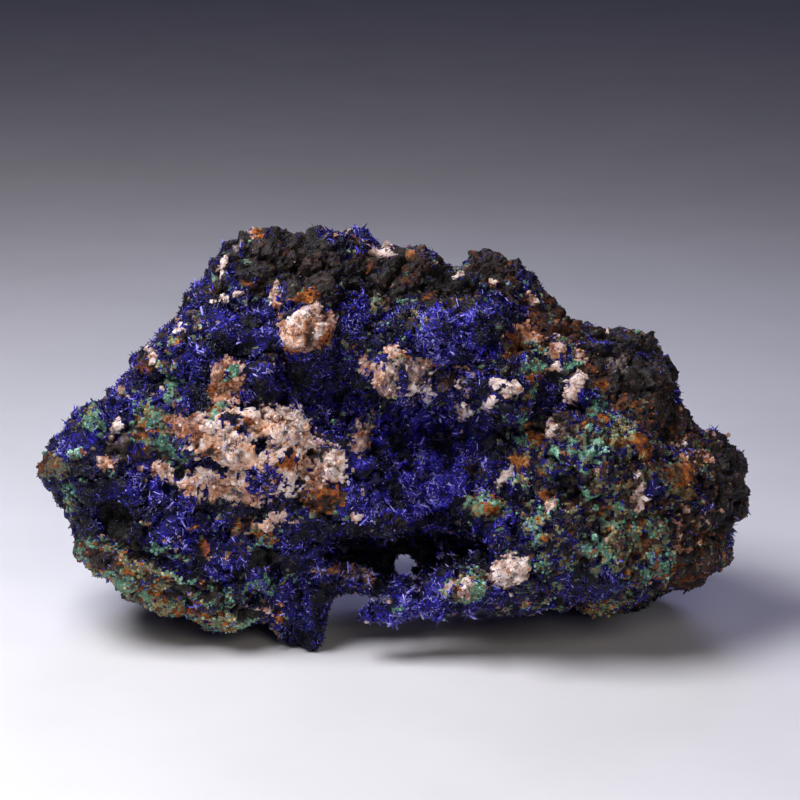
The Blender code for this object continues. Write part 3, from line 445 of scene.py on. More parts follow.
def bare_skin():
    """The two solids of the rock as one skin of small even faces."""
    whole = bmesh.new()
    for name, swell in (("matrix", 0.0), ("azurite_crust", CRUST_SWELL)):
        part = bmesh.new()
        part.from_mesh(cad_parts[name].data)
        bmesh.ops.remove_doubles(part, verts=part.verts, dist=0.002 * MM)
        part.normal_update()
        for vert in part.verts:
            vert.co += vert.normal * swell * MM
        mesh = bpy.data.meshes.new(name)
        part.to_mesh(mesh)
        whole.from_mesh(mesh)
        part.free()
    mesh = bpy.data.meshes.new("skin")
    whole.to_mesh(mesh)
    whole.free()
    rough = bpy.data.objects.new("skin", mesh)
    bpy.context.scene.collection.objects.link(rough)
    remesh = rough.modifiers.new("even faces", "REMESH")
    remesh.mode = "VOXEL"
    remesh.voxel_size = SKIN_SIZE * MM
    smooth = rough.modifiers.new("soft edges", "SMOOTH")
    smooth.iterations = SKIN_SMOOTHING
    graph = bpy.context.evaluated_depsgraph_get()
    even = bpy.data.meshes.new_from_object(rough.evaluated_get(graph))
    bpy.data.objects.remove(rough)
    points = np.empty(len(even.vertices) * 3)
    even.vertices.foreach_get("co", points)
    quads = np.empty(len(even.loops), np.int32)
    even.loops.foreach_get("vertex_index", quads)
    edges = np.empty(len(even.edges) * 2, np.int32)
    even.edges.foreach_get("vertices", edges)
    return points.reshape(-1, 3) / MM, quads.reshape(-1, 4), edges.reshape(-1, 2)


def unit(vectors):
    return vectors / np.maximum(np.linalg.norm(vectors, axis=-1, keepdims=True), 1e-9)


def directions(points, quads):
    """Each point's outward direction, each face's, and each face's area."""
    corners = points[quads]
    cross = np.cross(corners[:, 2] - corners[:, 0], corners[:, 3] - corners[:, 1])
    outward = np.zeros_like(points)
    for corner in range(4):
        for axis in range(3):
            outward[:, axis] += np.bincount(quads[:, corner], cross[:, axis], len(points))
    return unit(outward), unit(cross), np.linalg.norm(cross, axis=1) / 2


def spread(values, edges, rounds):
    """Values blended with those of the points next to them."""
    count = np.bincount(edges.ravel(), minlength=len(values)) + 1.0
    for _ in range(rounds):
        total = values.copy()
        for here, there in ((0, 1), (1, 0)):
            total += np.bincount(edges[:, here], values[edges[:, there]], len(values))
        values = total / count
    return values


def front_view(points):
    """Where the front view shows each point."""
    x = points[:, 0] + MIDDLE[0]
    y = points[:, 1] + MIDDLE[1]
    up = points[:, 2] * math.cos(FACE_LEAN) + y * math.sin(FACE_LEAN)
    deep = y * math.cos(FACE_LEAN) - points[:, 2] * math.sin(FACE_LEAN)
    nearness = POINTS_PER_MM * EYE[1] / (EYE[1] + deep)
    across = VIEW_MIDDLE + (x - EYE[0]) * nearness
    return across, VIEW_MIDDLE - (up - EYE[2]) * nearness


def lay_minerals(points, outward):
    """Which mineral each point is, how rusty and how pale it is, and how far it stands proud.
    Its paleness also carries painted shade in sunken patches and azurite pockets, and painted light on
    the back.
    """
    across, down = front_view(points)
    across = across + 12 * (swells(points, 4.0, 11, 2) - 0.5) + 7 * (swells(points, 1.3, 12) - 0.5)
    down = down + 12 * (swells(points, 4.0, 13, 2) - 0.5) + 7 * (swells(points, 1.3, 14) - 0.5)
    sizes_and_seeds = ((0.9, 21), (1.3, 22), (1.9, 23))
    specks = [evened(swells(points, size, seed, 2)) for size, seed in sizes_and_seeds]
    ragged = 0.3 * (chance(np.round(points * 40).astype(np.int64), 30) - 0.5)
    broad = evened(swells(points, 9.0, 24, 3))
    kind = np.full(len(points), AZURITE)
    rust = 0.25 + 0.3 * swells(points, 3.0, 25, 2)
    pale = 0.2 + 0.6 * swells(points, 2.4, 26, 2)
    rise = np.zeros(len(points))
    mixed = ramp(across, 500, 600)
    kind[(specks[0] > 0.86 - 0.4 * mixed) & (broad > 0.3 * (1 - mixed))] = GOSSAN
    kind[specks[1] > 0.965 - 0.09 * mixed] = LIMONITE
    kind[specks[1] < 0.03 + 0.07 * mixed] = MALACHITE
    rust += 0.12 * mixed
    kind[specks[2] > 0.985] = CALCITE
    facing = outward @ TOWARDS_VIEWER
    front = facing > 0.02 + 0.35 * (swells(points, 5.0, 27, 2) - 0.5)
    for number, patch in enumerate(PATCHES):
        mineral, middle, height, half_across, half_down, turn, share, rusty, light, proud = patch
        turned = math.radians(turn)
        x = across - middle
        y = down - height
        along = (x * math.cos(turned) + y * math.sin(turned)) / half_across
        over = (y * math.cos(turned) - x * math.sin(turned)) / half_down
        edge = np.hypot(along, over) + ragged
        near = (edge < 1) & front
        rise += proud * np.sqrt(np.clip(1 - edge**2, 0, 1)) * front
        here = near & (specks[number % 3] * (0.75 + 0.25 * edge) < share)
        kind[here] = mineral
        rust[here] = np.clip(rusty + 0.95 * (swells(points[here], 2.6, 28, 3) - 0.5), 0, 1)
        pale[here] = np.clip(light + 0.65 * (swells(points[here], 1.2, 29, 2) - 0.5), 0, 1)
    green = (kind == MALACHITE) & front
    brown = (kind == LIMONITE) & front
    kind[green & (specks[1] > 0.4) & (specks[1] < 0.5)] = AZURITE
    kind[green & (specks[0] > 0.86)] = LIMONITE
    kind[green & (specks[2] < 0.16)] = GOSSAN
    kind[brown & (specks[1] > 0.84)] = MALACHITE
    kind[brown & (specks[2] < 0.14)] = GOSSAN
    rust[green & (specks[0] > 0.86)] += 0.35
    # Painted shade: azurite is darkened in random patches about 4 mm wide, standing for shaded pockets
    # between clumps, which also dims the blades grown there.
    painted_pocket_shade = 0.12 + 1.05 * ramp(swells(points, 4.0, 31, 3), 0.36, 0.57)
    pale = np.where(kind == AZURITE, pale * painted_pocket_shade, pale)
    behind = ~front
    kind[behind] = GOSSAN
    rust[behind] *= 0.75
    # Painted light: the back, which the lamps hardly reach, is made paler to stand for light it lacks.
    pale[behind] = np.clip(pale[behind] * 1.25 + 0.1, 0, 1)
    kind[behind & (broad > 0.62) & (specks[0] > 0.25)] = AZURITE
    kind[behind & (broad < 0.22) & (specks[1] > 0.35)] = LIMONITE
    kind[behind & (broad > 0.36) & (broad < 0.44) & (specks[2] > 0.3)] = MALACHITE
    kind[behind & (broad > 0.52) & (broad < 0.56) & (specks[1] > 0.35)] = CALCITE
    return kind, rust, pale, rise


def roughen(points, outward, edges, kind, rise):
    """How far each point moves out: every mineral has its own relief."""
    drawn = points / (2.6, 1.6, 1.0)
    ropes = 1 - 2 * np.abs(swells(drawn, 2.2, 41, 2) - 0.5)
    _, block_border, block, block_top = lumps(points, 6.0, 42)
    _, chip_border, chip, chip_top = lumps(points, 2.4, 60)
    relief = np.zeros((5, len(points)))
    relief[GOSSAN] = 1.6 * (block - 0.5) + 3.2 * block_top - 1.0 * (1 - ramp(block_border, 0.0, 0.14))
    relief[GOSSAN] += 0.5 * (chip - 0.5) + 1.3 * chip_top - 0.35 * (1 - ramp(chip_border, 0.0, 0.16))
    relief[GOSSAN] += 0.8 * (ropes - 0.75) + 0.5 * (swells(points, 1.4, 43, 2) - 0.5)
    round_grains = lumps(points, 2.1, 44)[0]
    fine_grains = lumps(points, 1.0, 45)[0]
    relief[MALACHITE] = 1.4 * (0.45 - round_grains**2) + 0.8 * (0.45 - fine_grains**2)
    relief[MALACHITE] += 1.0 * (swells(points, 1.5, 52, 2) - 0.5)
    big_grains, _, _, big_top = lumps(points, 3.4, 46)
    small_grains, _, _, small_top = lumps(points, 1.5, 47)
    relief[CALCITE] = 1.2 * (0.4 - big_grains**2) + 1.3 * big_top
    relief[CALCITE] += 0.6 * (0.4 - small_grains**2) + 0.6 * small_top
    relief[LIMONITE] = 1.6 * (swells(points, 2.0, 48, 3) - 0.5) + 0.9 * (0.4 - fine_grains**2)
    relief[LIMONITE] += 0.6 * (0.4 - small_grains**2)
    clumps = lumps(points, 3.8, 49)[0]
    relief[AZURITE] = 1.9 * (0.42 - clumps**2) + 2.2 * (swells(points, 2.2, 50, 2) - 0.5)
    height = np.zeros(len(points))
    for mineral in range(5):
        height += relief[mineral] * spread((kind == mineral) * 1.0, edges, 3)
    cracks = np.abs(swells(points, 8.0, 51, 3) - 0.5)
    height -= 1.3 * (1 - ramp(cracks, 0.0, 0.035))
    return height + spread(rise, edges, 2)


class Rock:
    """The finished skin: its points, faces, outward directions and what each point is made of."""

    def __init__(self):
        points, self.quads, edges = bare_skin()
        outward, _, _ = directions(points, self.quads)
        self.kind, self.rust, self.pale, rise = lay_minerals(points, outward)
        height = roughen(points, outward, edges, self.kind, rise)
        gentle = np.stack([spread(outward[:, axis], edges, 4) for axis in range(3)], axis=1)
        self.points = points + unit(gentle) * height[:, None]
        self.points[:, 2] = np.maximum(self.points[:, 2], 0)
        # deep: how far each point lies below its smoothed surroundings. The finishes use it to paint
        # shade into cracks and hollows.
        self.deep = ramp(spread(height, edges, 14) - height, 0.0, 0.7)
        self.outward, self.face_out, self.area = directions(self.points, self.quads)
        self.face_kind = self.kind[self.quads[:, 0]]
        self.middles = self.points[self.quads].mean(axis=1)


def near_crust(rock):
    """Which faces lie on the crystal crust that lines the hollow."""
    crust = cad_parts["azurite_crust"].data
    tree = BVHTree.FromPolygons(
        [vert.co for vert in crust.vertices],
        [tuple(face.vertices) for face in crust.polygons],
    )
    low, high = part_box("azurite_crust")
    low = np.array(low) / MM - 0.6
    high = np.array(high) / MM + 0.6
    inside = np.all((rock.middles > low) & (rock.middles < high), axis=1)
    lining = np.zeros(len(rock.quads), bool)
    for face in np.flatnonzero(inside):
        found = tree.find_nearest(Vector(rock.middles[face] * MM), HOLLOW_REACH * MM)
        lining[face] = found[0] is not None
    return lining


# Making pieces.

def make_piece(name, points, faces, finishes, marks, finish_of=None, smooth=None, stands_for=()):
    """One joined mesh that rides on the rock, with a mark at every point for its finish to read."""
    mesh = bpy.data.meshes.new(name)
    mesh.vertices.add(len(points))
    mesh.vertices.foreach_set("co", (points * MM).astype(np.float32).ravel())
    mesh.loops.add(faces.size)
    mesh.loops.foreach_set("vertex_index", faces.astype(np.int32).ravel())
    mesh.polygons.add(len(faces))
    starts = np.arange(0, faces.size, faces.shape[1], dtype=np.int32)
    mesh.polygons.foreach_set("loop_start", starts)
    mesh.update(calc_edges=True)
    for mark, values in marks.items():
        mesh.attributes.new(mark, "FLOAT", "POINT").data.foreach_set("value", values.astype(np.float32))
    for finish in finishes:
        mesh.materials.append(finish)
    if finish_of is not None:
        mesh.polygons.foreach_set("material_index", finish_of.astype(np.int32))
    if smooth is not None:
        mesh.polygons.foreach_set("use_smooth", smooth)
    piece = bpy.data.objects.new(name, mesh)
    bpy.context.scene.collection.objects.link(piece)
    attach(piece, "root")
    if stands_for:
        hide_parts(*stands_for)
    return piece


def make_skin(rock, name, chosen, finishes, node):
    """The chosen faces of the rock's skin as a piece of their own."""
    faces = rock.quads[chosen]
    used, place = np.unique(faces, return_inverse=True)
    # Painted shade: the bed under loose grains is darkened by its mineral's share.
    pale = rock.pale[used] * np.array(PAINTED_SHADE_UNDER_GRAINS)[rock.kind[used]]
    # Painted shade: the azurite bed is darkened further in cracks and hollows by the deep mark.
    pale *= 1 - 0.8 * rock.deep[used] * (rock.kind[used] == AZURITE)
    marks = {"rust": rock.rust[used], "pale": pale, "deep": rock.deep[used]}
    kinds = rock.face_kind[chosen]
    make_piece(
        name, rock.points[used], place.reshape(-1, 4), finishes, marks,
        finish_of=kinds, smooth=(kinds != AZURITE) & (kinds != GOSSAN), stands_for=(node,),
    )


def spots_on(rock, wanted, per_square_mm, dice):
    """Places on the wanted faces, crowded in some spots and sparse in others, their outward
    directions and the rock point beside each."""
    faces = np.flatnonzero(wanted)
    count = int(rock.area[faces].sum() * per_square_mm)
    crowded = 0.15 + ramp(swells(rock.middles[faces], 2.4, 61, 2), 0.35, 0.6)
    share = rock.area[faces] * crowded
    picks = dice.choice(faces, count, p=share / share.sum())
    corners = rock.points[rock.quads[picks]]
    u, v = dice.random((2, count, 1))
    near_side = corners[:, 0] * (1 - u) + corners[:, 1] * u
    far_side = corners[:, 3] * (1 - u) + corners[:, 2] * u
    roots = rock.quads[picks, 0]
    outward = unit(rock.face_out[picks] + rock.outward[roots])
    return near_side * (1 - v) + far_side * v, outward, roots


def stand_up(outward, lean, dice):
    """Three crossed directions for each small piece, the last of them leaning off the rock."""
    sideways = unit(np.cross(outward, dice.normal(size=outward.shape)))
    out = unit(outward + lean * dice.uniform(0.2, 1.8, (len(outward), 1)) * sideways)
    side = unit(np.cross(out, dice.normal(size=out.shape)))
    return np.stack([side, np.cross(out, side), out], axis=1)


def repeat(shape, triangles, places, axes, sizes, uneven, dice):
    """Copies of one small shape, each corner moved a little by uneven and none of it under the floor."""
    count = len(places)
    grown = shape[None] * (1 + uneven * dice.uniform(-1, 1, (count, len(shape), 1)))
    points = places[:, None] + (grown * sizes[:, None]) @ axes
    points[..., 2] = np.maximum(points[..., 2], 0)
    faces = triangles[None] + (np.arange(count) * len(shape))[:, None, None]
    return points.reshape(-1, 3), faces.reshape(-1, 3)


def blade_shape():
    """A flat three-sided azurite blade with a slanting end, 1 wide, 1 thick and 1 long."""
    ring = np.array([(-0.5, -0.35), (0.5, -0.35), (0.15, 0.65)])
    root = np.column_stack([ring, np.full(3, -0.3)])
    tip = np.column_stack([ring * 0.85, (0.8, 1.0, 0.9)])
    sides = []
    for i in range(3):
        j = (i + 1) % 3
        sides += [(i, j, j + 3), (i, j + 3, i + 3)]
    return np.vstack([root, tip]), np.array(sides + [(3, 4, 5)])


def needle_shape():
    """A pointed azurite needle with the same root as a blade."""
    ring = [(-0.5, -0.35, -0.3), (0.5, -0.35, -0.3), (0.15, 0.65, -0.3)]
    return np.array(ring + [(0.1, 0.1, 1.0)]), np.array([(0, 1, 3), (1, 2, 3), (2, 0, 3)])


def grain_shape():
    """A twenty-sided grain of radius 1."""
    ball = bmesh.new()
    bmesh.ops.create_icosphere(ball, subdivisions=1, radius=1.0)
    points = np.array([vert.co[:] for vert in ball.verts])
    triangles = np.array([[vert.index for vert in face.verts] for face in ball.faces])
    ball.free()
    return points, triangles


def chip_shape():
    """An eight-sided splinter of radius 1."""
    points = np.array([(1, 0, 0), (-1, 0, 0), (0, 1, 0), (0, -1, 0), (0, 0, 1), (0, 0, -1.0)])
    top = [(0, 2, 4), (2, 1, 4), (1, 3, 4), (3, 0, 4)]
    return points, np.array(top + [(b, a, 5) for a, b, _ in top])


def block_shape():
    """A slanting six-faced calcite block of half width 1."""
    points = 2.0 * CORNERS - 1
    points[:, 0] += 0.35 * points[:, 2]
    sides = [(0, 1, 3, 2), (4, 6, 7, 5), (0, 4, 5, 1), (2, 3, 7, 6), (0, 2, 6, 4), (1, 5, 7, 3)]
    return points, np.array([half for a, b, c, d in sides for half in ((a, b, c), (a, c, d))])


def grow_blades(rock, name, wanted, per_square_mm, finish, dice, form, size=1.0):
    """A druse of azurite blades or needles, most lying near the rock and some standing out of it."""
    places, outward, roots = spots_on(rock, wanted, per_square_mm, dice)
    count = len(places)
    bright = rock.pale[roots]
    long = size * (0.42 + 1.15 * dice.random(count) ** 3.5) * (0.8 + 0.5 * ramp(bright, 0.6, 0.95))
    wide = (0.3 + 0.35 * long) * dice.uniform(0.3, 0.7, count)
    thick = wide * dice.uniform(0.3, 0.6, count)
    axes = stand_up(outward, 2.0, dice)
    shape, triangles = form
    sizes = np.stack([wide, thick, long], axis=1)
    points, faces = repeat(shape, triangles, places, axes, sizes, 0.06, dice)
    luck = dice.random(count)
    cluster = ramp(swells(places, 3.0, 62, 2), 0.3, 0.7)
    # Tint follows the rock's paleness, brighter in clusters; the luck**7 term lifts a few blades to the
    # palest tint as painted glints.
    tint = np.clip((0.8 + 1.0 * cluster) * bright * luck + (0.35 + bright) * luck**7, 0, 1)
    marks = {
        "rust": np.zeros(len(points)),
        "pale": np.repeat(tint, len(shape)),
        # The deep mark carries painted shade onto blades in cracks and hollows.
        "deep": np.repeat(rock.deep[roots] * 0.7, len(shape)),
    }
    return make_piece(name, points, faces, [finish], marks)


def strew(rock, name, wanted, per_square_mm, finish, dice, shape, size, flat, uneven, smooth):
    """Small grains that stick to the rock, in sizes between the two given."""
    places, outward, roots = spots_on(rock, wanted, per_square_mm, dice)
    count = len(places)
    radius = size[0] + (size[1] - size[0]) * dice.random(count) ** 2.5
    sizes = radius[:, None] * dice.uniform(flat, 1.0, (count, 3))
    axes = stand_up(outward, 1.2, dice)
    corners, triangles = shape
    lifted = places + outward * (radius * dice.uniform(0.0, 0.5, count))[:, None]
    points, faces = repeat(corners, triangles, lifted, axes, sizes, uneven, dice)
    rustier, paler = dice.uniform(-0.3, 0.3, (2, count))
    marks = {
        "rust": np.repeat(np.clip(rock.rust[roots] + rustier, 0, 1), len(corners)),
        "pale": np.repeat(np.clip(rock.pale[roots] + paler, 0, 1), len(corners)),
        # The deep mark carries painted shade onto grains in cracks and hollows.
        "deep": np.repeat(rock.deep[roots] * 0.6, len(corners)),
    }
    flags = np.full(len(faces), smooth)
    return make_piece(name, points, faces, [finish], marks, smooth=flags)


# Finishes.

def linear(shade):
    """A colour given as an sRGB hex value, as Blender's linear values."""
    parts = [int(shade[i:i + 2], 16) / 255 for i in (1, 3, 5)]
    return [c / 12.92 if c <= 0.04045 else ((c + 0.055) / 1.055) ** 2.4 for c in parts] + [1.0]


def add(tree, kind, sockets=(), stops=(), **settings):
    """Adds a node with its settings, and its sockets set or linked from other sockets."""
    node = tree.nodes.new(kind)
    for name, value in settings.items():
        setattr(node, name, value)
    for socket, value in dict(sockets).items():
        if isinstance(value, bpy.types.NodeSocket):
            tree.links.new(value, node.inputs[socket])
        else:
            node.inputs[socket].default_value = value
    for number, (place, shade) in enumerate(stops):
        while len(node.color_ramp.elements) <= number:
            node.color_ramp.elements.new(1.0)
        node.color_ramp.elements[number].position = place
        node.color_ramp.elements[number].color = linear(shade)
    return node


def start(name):
    """A new material with an emptied node tree, and the place on the rock in metres. Its output is added
    when it is finished.
    """
    material = bpy.data.materials.new(name)
    material.use_nodes = True
    tree = material.node_tree
    tree.nodes.clear()
    place = add(tree, "ShaderNodeTexCoord").outputs["Object"]
    return material, tree, place


def stained_with_painted_shade(tree, place, stops, rust_stops, fine):
    """A mineral's own colours from its paleness mark, gone over with its rust colours where it is
    rusty, and darkened to nearly black in its deepest cracks as painted shade. Its fine mottling is this
    many millimetres wide."""
    pale = add(tree, "ShaderNodeAttribute", attribute_name="pale").outputs["Fac"]
    rust = add(tree, "ShaderNodeAttribute", attribute_name="rust").outputs["Fac"]
    deep = add(tree, "ShaderNodeAttribute", attribute_name="deep").outputs["Fac"]
    mottle = add(
        tree, "ShaderNodeTexNoise",
        {"Vector": place, "Scale": 1 / (fine * MM), "Detail": 6.0, "Roughness": 0.65},
    ).outputs["Fac"]
    blotch = add(
        tree, "ShaderNodeTexNoise",
        {"Vector": place, "Scale": 0.6 / (fine * MM), "Detail": 4.0, "Roughness": 0.6},
    ).outputs["Fac"]
    lighter = add(tree, "ShaderNodeMath", {0: mottle, 1: 1.5, 2: -0.78}, operation="MULTIPLY_ADD")
    tone = add(tree, "ShaderNodeMath", {0: pale, 1: lighter.outputs[0]}, operation="ADD")
    clean = add(tree, "ShaderNodeValToRGB", {"Fac": tone.outputs[0]}, stops)
    dirty = add(tree, "ShaderNodeValToRGB", {"Fac": tone.outputs[0]}, rust_stops)
    shift = add(tree, "ShaderNodeMath", {0: blotch, 1: 1.6, 2: -0.8}, operation="MULTIPLY_ADD")
    amount = add(tree, "ShaderNodeMath", {0: rust, 1: shift.outputs[0]}, operation="ADD")
    spread_of_rust = add(
        tree, "ShaderNodeMapRange", {"Value": amount.outputs[0], "From Min": 0.36, "From Max": 0.62}
    )
    mixed = add(
        tree, "ShaderNodeMix",
        {0: spread_of_rust.outputs[0], 6: clean.outputs[0], 7: dirty.outputs[0]}, data_type="RGBA",
    )
    # Painted shade: the deep mark darkens the colour towards near black in cracks and hollows.
    shade = add(tree, "ShaderNodeMapRange", {"Value": deep, "To Min": 0.0, "To Max": 0.75})
    return add(
        tree, "ShaderNodeMix",
        {0: shade.outputs[0], 6: mixed.outputs[2], 7: linear("#0a0806")}, data_type="RGBA",
    ).outputs[2], mottle


def finish_with(material, tree, place, colour, roughness, bump_size, bump_depth, **sockets):
    """Closes a material with its shader and a fine grain that stands this many millimetres proud."""
    grain = add(
        tree, "ShaderNodeTexNoise",
        {"Vector": place, "Scale": 1 / (bump_size * MM), "Detail": 3.0, "Roughness": 0.6},
    )
    bump = add(
        tree, "ShaderNodeBump",
        {"Height": grain.outputs["Fac"], "Distance": bump_depth * MM, "Strength": 1.0},
    )
    inputs = {"Base Color": colour, "Roughness": roughness, "Normal": bump.outputs["Normal"]}
    inputs.update(sockets)
    shader = add(tree, "ShaderNodeBsdfPrincipled", inputs)
    add(tree, "ShaderNodeOutputMaterial", {"Surface": shader.outputs[0]})
    return material


def weathered_gossan():
    """Gossan: iron oxide rock, its surface made by weathering. It is near black, rough and hardly
    glossy, brown where it rusts and greyish where it is dry. Its pores are about 0.35 mm wide."""
    material, tree, place = start("weathered_gossan")
    colour, _ = stained_with_painted_shade(
        tree, place,
        ((0.0, "#060504"), (0.35, "#1a130f"), (0.65, "#3a2d28"), (1.0, "#8c7c78")),
        ((0.0, "#120a06"), (0.4, "#341a0c"), (0.75, "#6b3a1a"), (1.0, "#a3703f")), 0.8,
    )
    return finish_with(material, tree, place, colour, 0.5, 0.35, 0.25, **{"Specular IOR Level": 0.4})


def earthy_limonite():
    """Limonite: earthy iron rust, dried onto the rock as a powder. It is quite matt, orange to brown.
    Its dust is under 0.05 mm, too fine to show, so its tooth is drawn at 0.3 mm."""
    material, tree, place = start("earthy_limonite")
    colour, _ = stained_with_painted_shade(
        tree, place,
        ((0.0, "#120a07"), (0.35, "#3e2318"), (0.7, "#80502f"), (1.0, "#c0946f")),
        ((0.0, "#1e0d05"), (0.35, "#70340f"), (0.7, "#bc6820"), (1.0, "#e8b068")), 0.7,
    )
    return finish_with(material, tree, place, colour, 0.9, 0.3, 0.25)


def grape_malachite():
    """Malachite: a green copper carbonate, grown as clustered balls of silky fibres. It is blue-green
    with a soft gloss, paler at the tips and olive where rust tints it. Its fibres are about 0.02 mm
    thick, too fine to show, so its nap is drawn at 0.2 mm."""
    material, tree, place = start("grape_malachite")
    colour, _ = stained_with_painted_shade(
        tree, place,
        ((0.0, "#081814"), (0.35, "#22543f"), (0.7, "#5a9c7c"), (1.0, "#b4e6cc")),
        ((0.0, "#1e160a"), (0.35, "#62481e"), (0.7, "#9f8444"), (1.0, "#d8cc98")), 0.6,
    )
    return finish_with(material, tree, place, colour, 0.5, 0.2, 0.12, **{"IOR": 1.7})


def sugary_calcite():
    """Calcite: crystallised in place as a sugary mass of clear grains. Their many faces make it white
    to pinkish cream with small glints, and rust stains it along its cracks. Its finest grains are
    about 0.3 mm wide."""
    material, tree, place = start("sugary_calcite")
    colour, _ = stained_with_painted_shade(
        tree, place,
        ((0.0, "#241c1e"), (0.3, "#705b5b"), (0.65, "#d0aa9a"), (1.0, "#fcf0ea")),
        ((0.0, "#2a140b"), (0.35, "#7c4224"), (0.65, "#b97850"), (1.0, "#eebfa0")), 0.9,
    )
    return finish_with(material, tree, place, colour, 0.42, 0.3, 0.15, **{"IOR": 1.6})


def blue_azurite():
    """Azurite: a blue copper carbonate, grown as glassy blades with natural faces. Thick parts are so
    deep a blue that they look black, thin ones look violet, and flat faces flash white. The growth
    lines on them are about 0.05 mm apart, too fine to show, so they are drawn at 0.35 mm. Its palest
    colour, near-white lavender, is a painted highlight, and the deep mark darkens it as painted shade."""
    material, tree, place = start("blue_azurite")
    pale = add(tree, "ShaderNodeAttribute", attribute_name="pale").outputs["Fac"]
    deep = add(tree, "ShaderNodeAttribute", attribute_name="deep").outputs["Fac"]
    mottle = add(
        tree, "ShaderNodeTexNoise",
        {"Vector": place, "Scale": 1 / (1.1 * MM), "Detail": 4.0, "Roughness": 0.6},
    ).outputs["Fac"]
    lighter = add(tree, "ShaderNodeMath", {0: mottle, 1: 0.7, 2: -0.38}, operation="MULTIPLY_ADD")
    tone = add(tree, "ShaderNodeMath", {0: pale, 1: lighter.outputs[0]}, operation="ADD")
    # The palest stop, near-white lavender, is a painted highlight for blades that flash.
    own = add(
        tree, "ShaderNodeValToRGB", {"Fac": tone.outputs[0]},
        ((0.0, "#03020f"), (0.2, "#0b064c"), (0.45, "#1d129c"), (0.68, "#382bd0"), (0.88, "#6a60ea"),
         (1.0, "#b8b2fc")),
    )
    # Painted shade: the deep mark darkens the colour towards black in cracks and hollows.
    shade = add(tree, "ShaderNodeMapRange", {"Value": deep, "To Min": 0.0, "To Max": 0.8})
    colour = add(
        tree, "ShaderNodeMix",
        {0: shade.outputs[0], 6: own.outputs[0], 7: linear("#020208")}, data_type="RGBA",
    ).outputs[2]
    flash = linear("#d0ceff")
    return finish_with(
        material, tree, place, colour, 0.18, 0.35, 0.08, **{"IOR": 1.76, "Specular Tint": flash}
    )


def azurite_bed():
    """Azurite again, as the crust of tiny crystals that the blades grew from. It is black between them,
    and each crystal has a random tone from black to blue; the palest, lavender ones are a painted glint
    for a crystal that catches the light. It is too uneven for a clear gloss. The crystals are about
    0.1 mm wide, too fine to show, so they are drawn at 0.32 mm."""
    material, tree, place = start("azurite_bed")
    pale = add(tree, "ShaderNodeAttribute", attribute_name="pale").outputs["Fac"]
    crystals = add(
        tree, "ShaderNodeTexVoronoi", {"Vector": place, "Scale": 1 / (0.32 * MM)}, feature="F1"
    )
    # Random tone per crystal; the palest crystals stand for painted glints.
    tone = add(tree, "ShaderNodeMath", {0: pale, 1: crystals.outputs["Color"]}, operation="MULTIPLY")
    colour = add(
        tree, "ShaderNodeValToRGB", {"Fac": tone.outputs[0]},
        ((0.0, "#020207"), (0.2, "#050324"), (0.38, "#120b66"), (0.55, "#2c22b4"), (0.8, "#7068e4")),
    ).outputs[0]
    return finish_with(
        material, tree, place, colour, 0.4, 0.3, 0.2, **{"IOR": 1.76, "Specular IOR Level": 0.1}
    )


def pale_paper():
    """Paper: pale, uncoated and rolled flat, so it is matt, with faint clouds 40 mm across. Its tooth
    is about 0.1 mm wide, too fine to show, so it is drawn at 1 mm."""
    material, tree, place = start("pale_paper")
    clouds = add(
        tree, "ShaderNodeTexNoise", {"Vector": place, "Scale": 1 / (40 * MM), "Detail": 3.0}
    )
    colour = add(
        tree, "ShaderNodeValToRGB", {"Fac": clouds.outputs["Fac"]}, ((0.3, "#e5e5e8"), (0.7, "#ebebee"))
    )
    return finish_with(material, tree, place, colour.outputs[0], 0.8, 1.0, 0.02)


# Studio.

def upright(x, y, z):
    """A place given from the front view, across, deep and up, as a place over the floor in metres."""
    back = z * math.sin(FACE_LEAN) + y * math.cos(FACE_LEAN) - MIDDLE[1]
    height = z * math.cos(FACE_LEAN) - y * math.sin(FACE_LEAN)
    return Vector((x - MIDDLE[0], back, height)) * MM


def softbox(name, place, target, width, height, power, shade, spread_angle=180):
    """A soft rectangular studio light, its place and target in millimetres."""
    light = bpy.data.lights.new(name, "AREA")
    light.shape = "RECTANGLE"
    light.size = width * MM
    light.size_y = height * MM
    light.energy = power
    light.color = linear(shade)[:3]
    light.spread = math.radians(spread_angle)
    lamp = bpy.data.objects.new(name, light)
    lamp.location = Vector(place) * MM
    lamp.rotation_euler = (Vector(target) - Vector(place)).to_track_quat("-Z", "Y").to_euler()
    bpy.context.scene.collection.objects.link(lamp)


def set_studio():
    """A pale floor, soft light from above and around, and the camera that looks down on the face."""
    floor_mesh = bpy.data.meshes.new("floor")
    corners = [(-4, -4, 0), (4, -4, 0), (4, 4, 0), (-4, 4, 0)]
    floor_mesh.from_pydata(corners, [], [(0, 1, 2, 3)])
    floor_mesh.materials.append(pale_paper())
    floor = bpy.data.objects.new("floor", floor_mesh)
    bpy.context.scene.collection.objects.link(floor)
    softbox("softbox_above", (-215, -148, 415), (-210, -148, 0), 330, 260, 2.88, "#fcfbfe")
    softbox("softbox_front", (160, -600, 390), (0, 0, 40), 300, 300, 0.75, "#fff5e4")
    softbox("softbox_right", (520, -160, 260), (0, 0, 40), 200, 260, 0.18, "#f4f6ff")
    softbox("softbox_back", (60, 560, 420), (0, 20, 30), 300, 300, 0.11, "#c6c6ff", 50)
    world = bpy.data.worlds.new("room")
    world.use_nodes = True
    world.node_tree.nodes["Background"].inputs["Color"].default_value = linear("#8888e4")
    world.node_tree.nodes["Background"].inputs["Strength"].default_value = 0.04
    bpy.context.scene.world = world
    bpy.context.scene.view_settings.view_transform = "Standard"
    view = bpy.data.cameras.new("camera")
    view.lens = LENS
    view.sensor_width = 36.0
    view.clip_start = 0.01
    camera = bpy.data.objects.new("camera", view)
    camera.location = upright(EYE[0], -EYE[1], EYE[2])
    camera.rotation_euler = (math.radians(90) - FACE_LEAN, 0, 0)
    bpy.context.scene.collection.objects.link(camera)
    bpy.context.scene.camera = camera


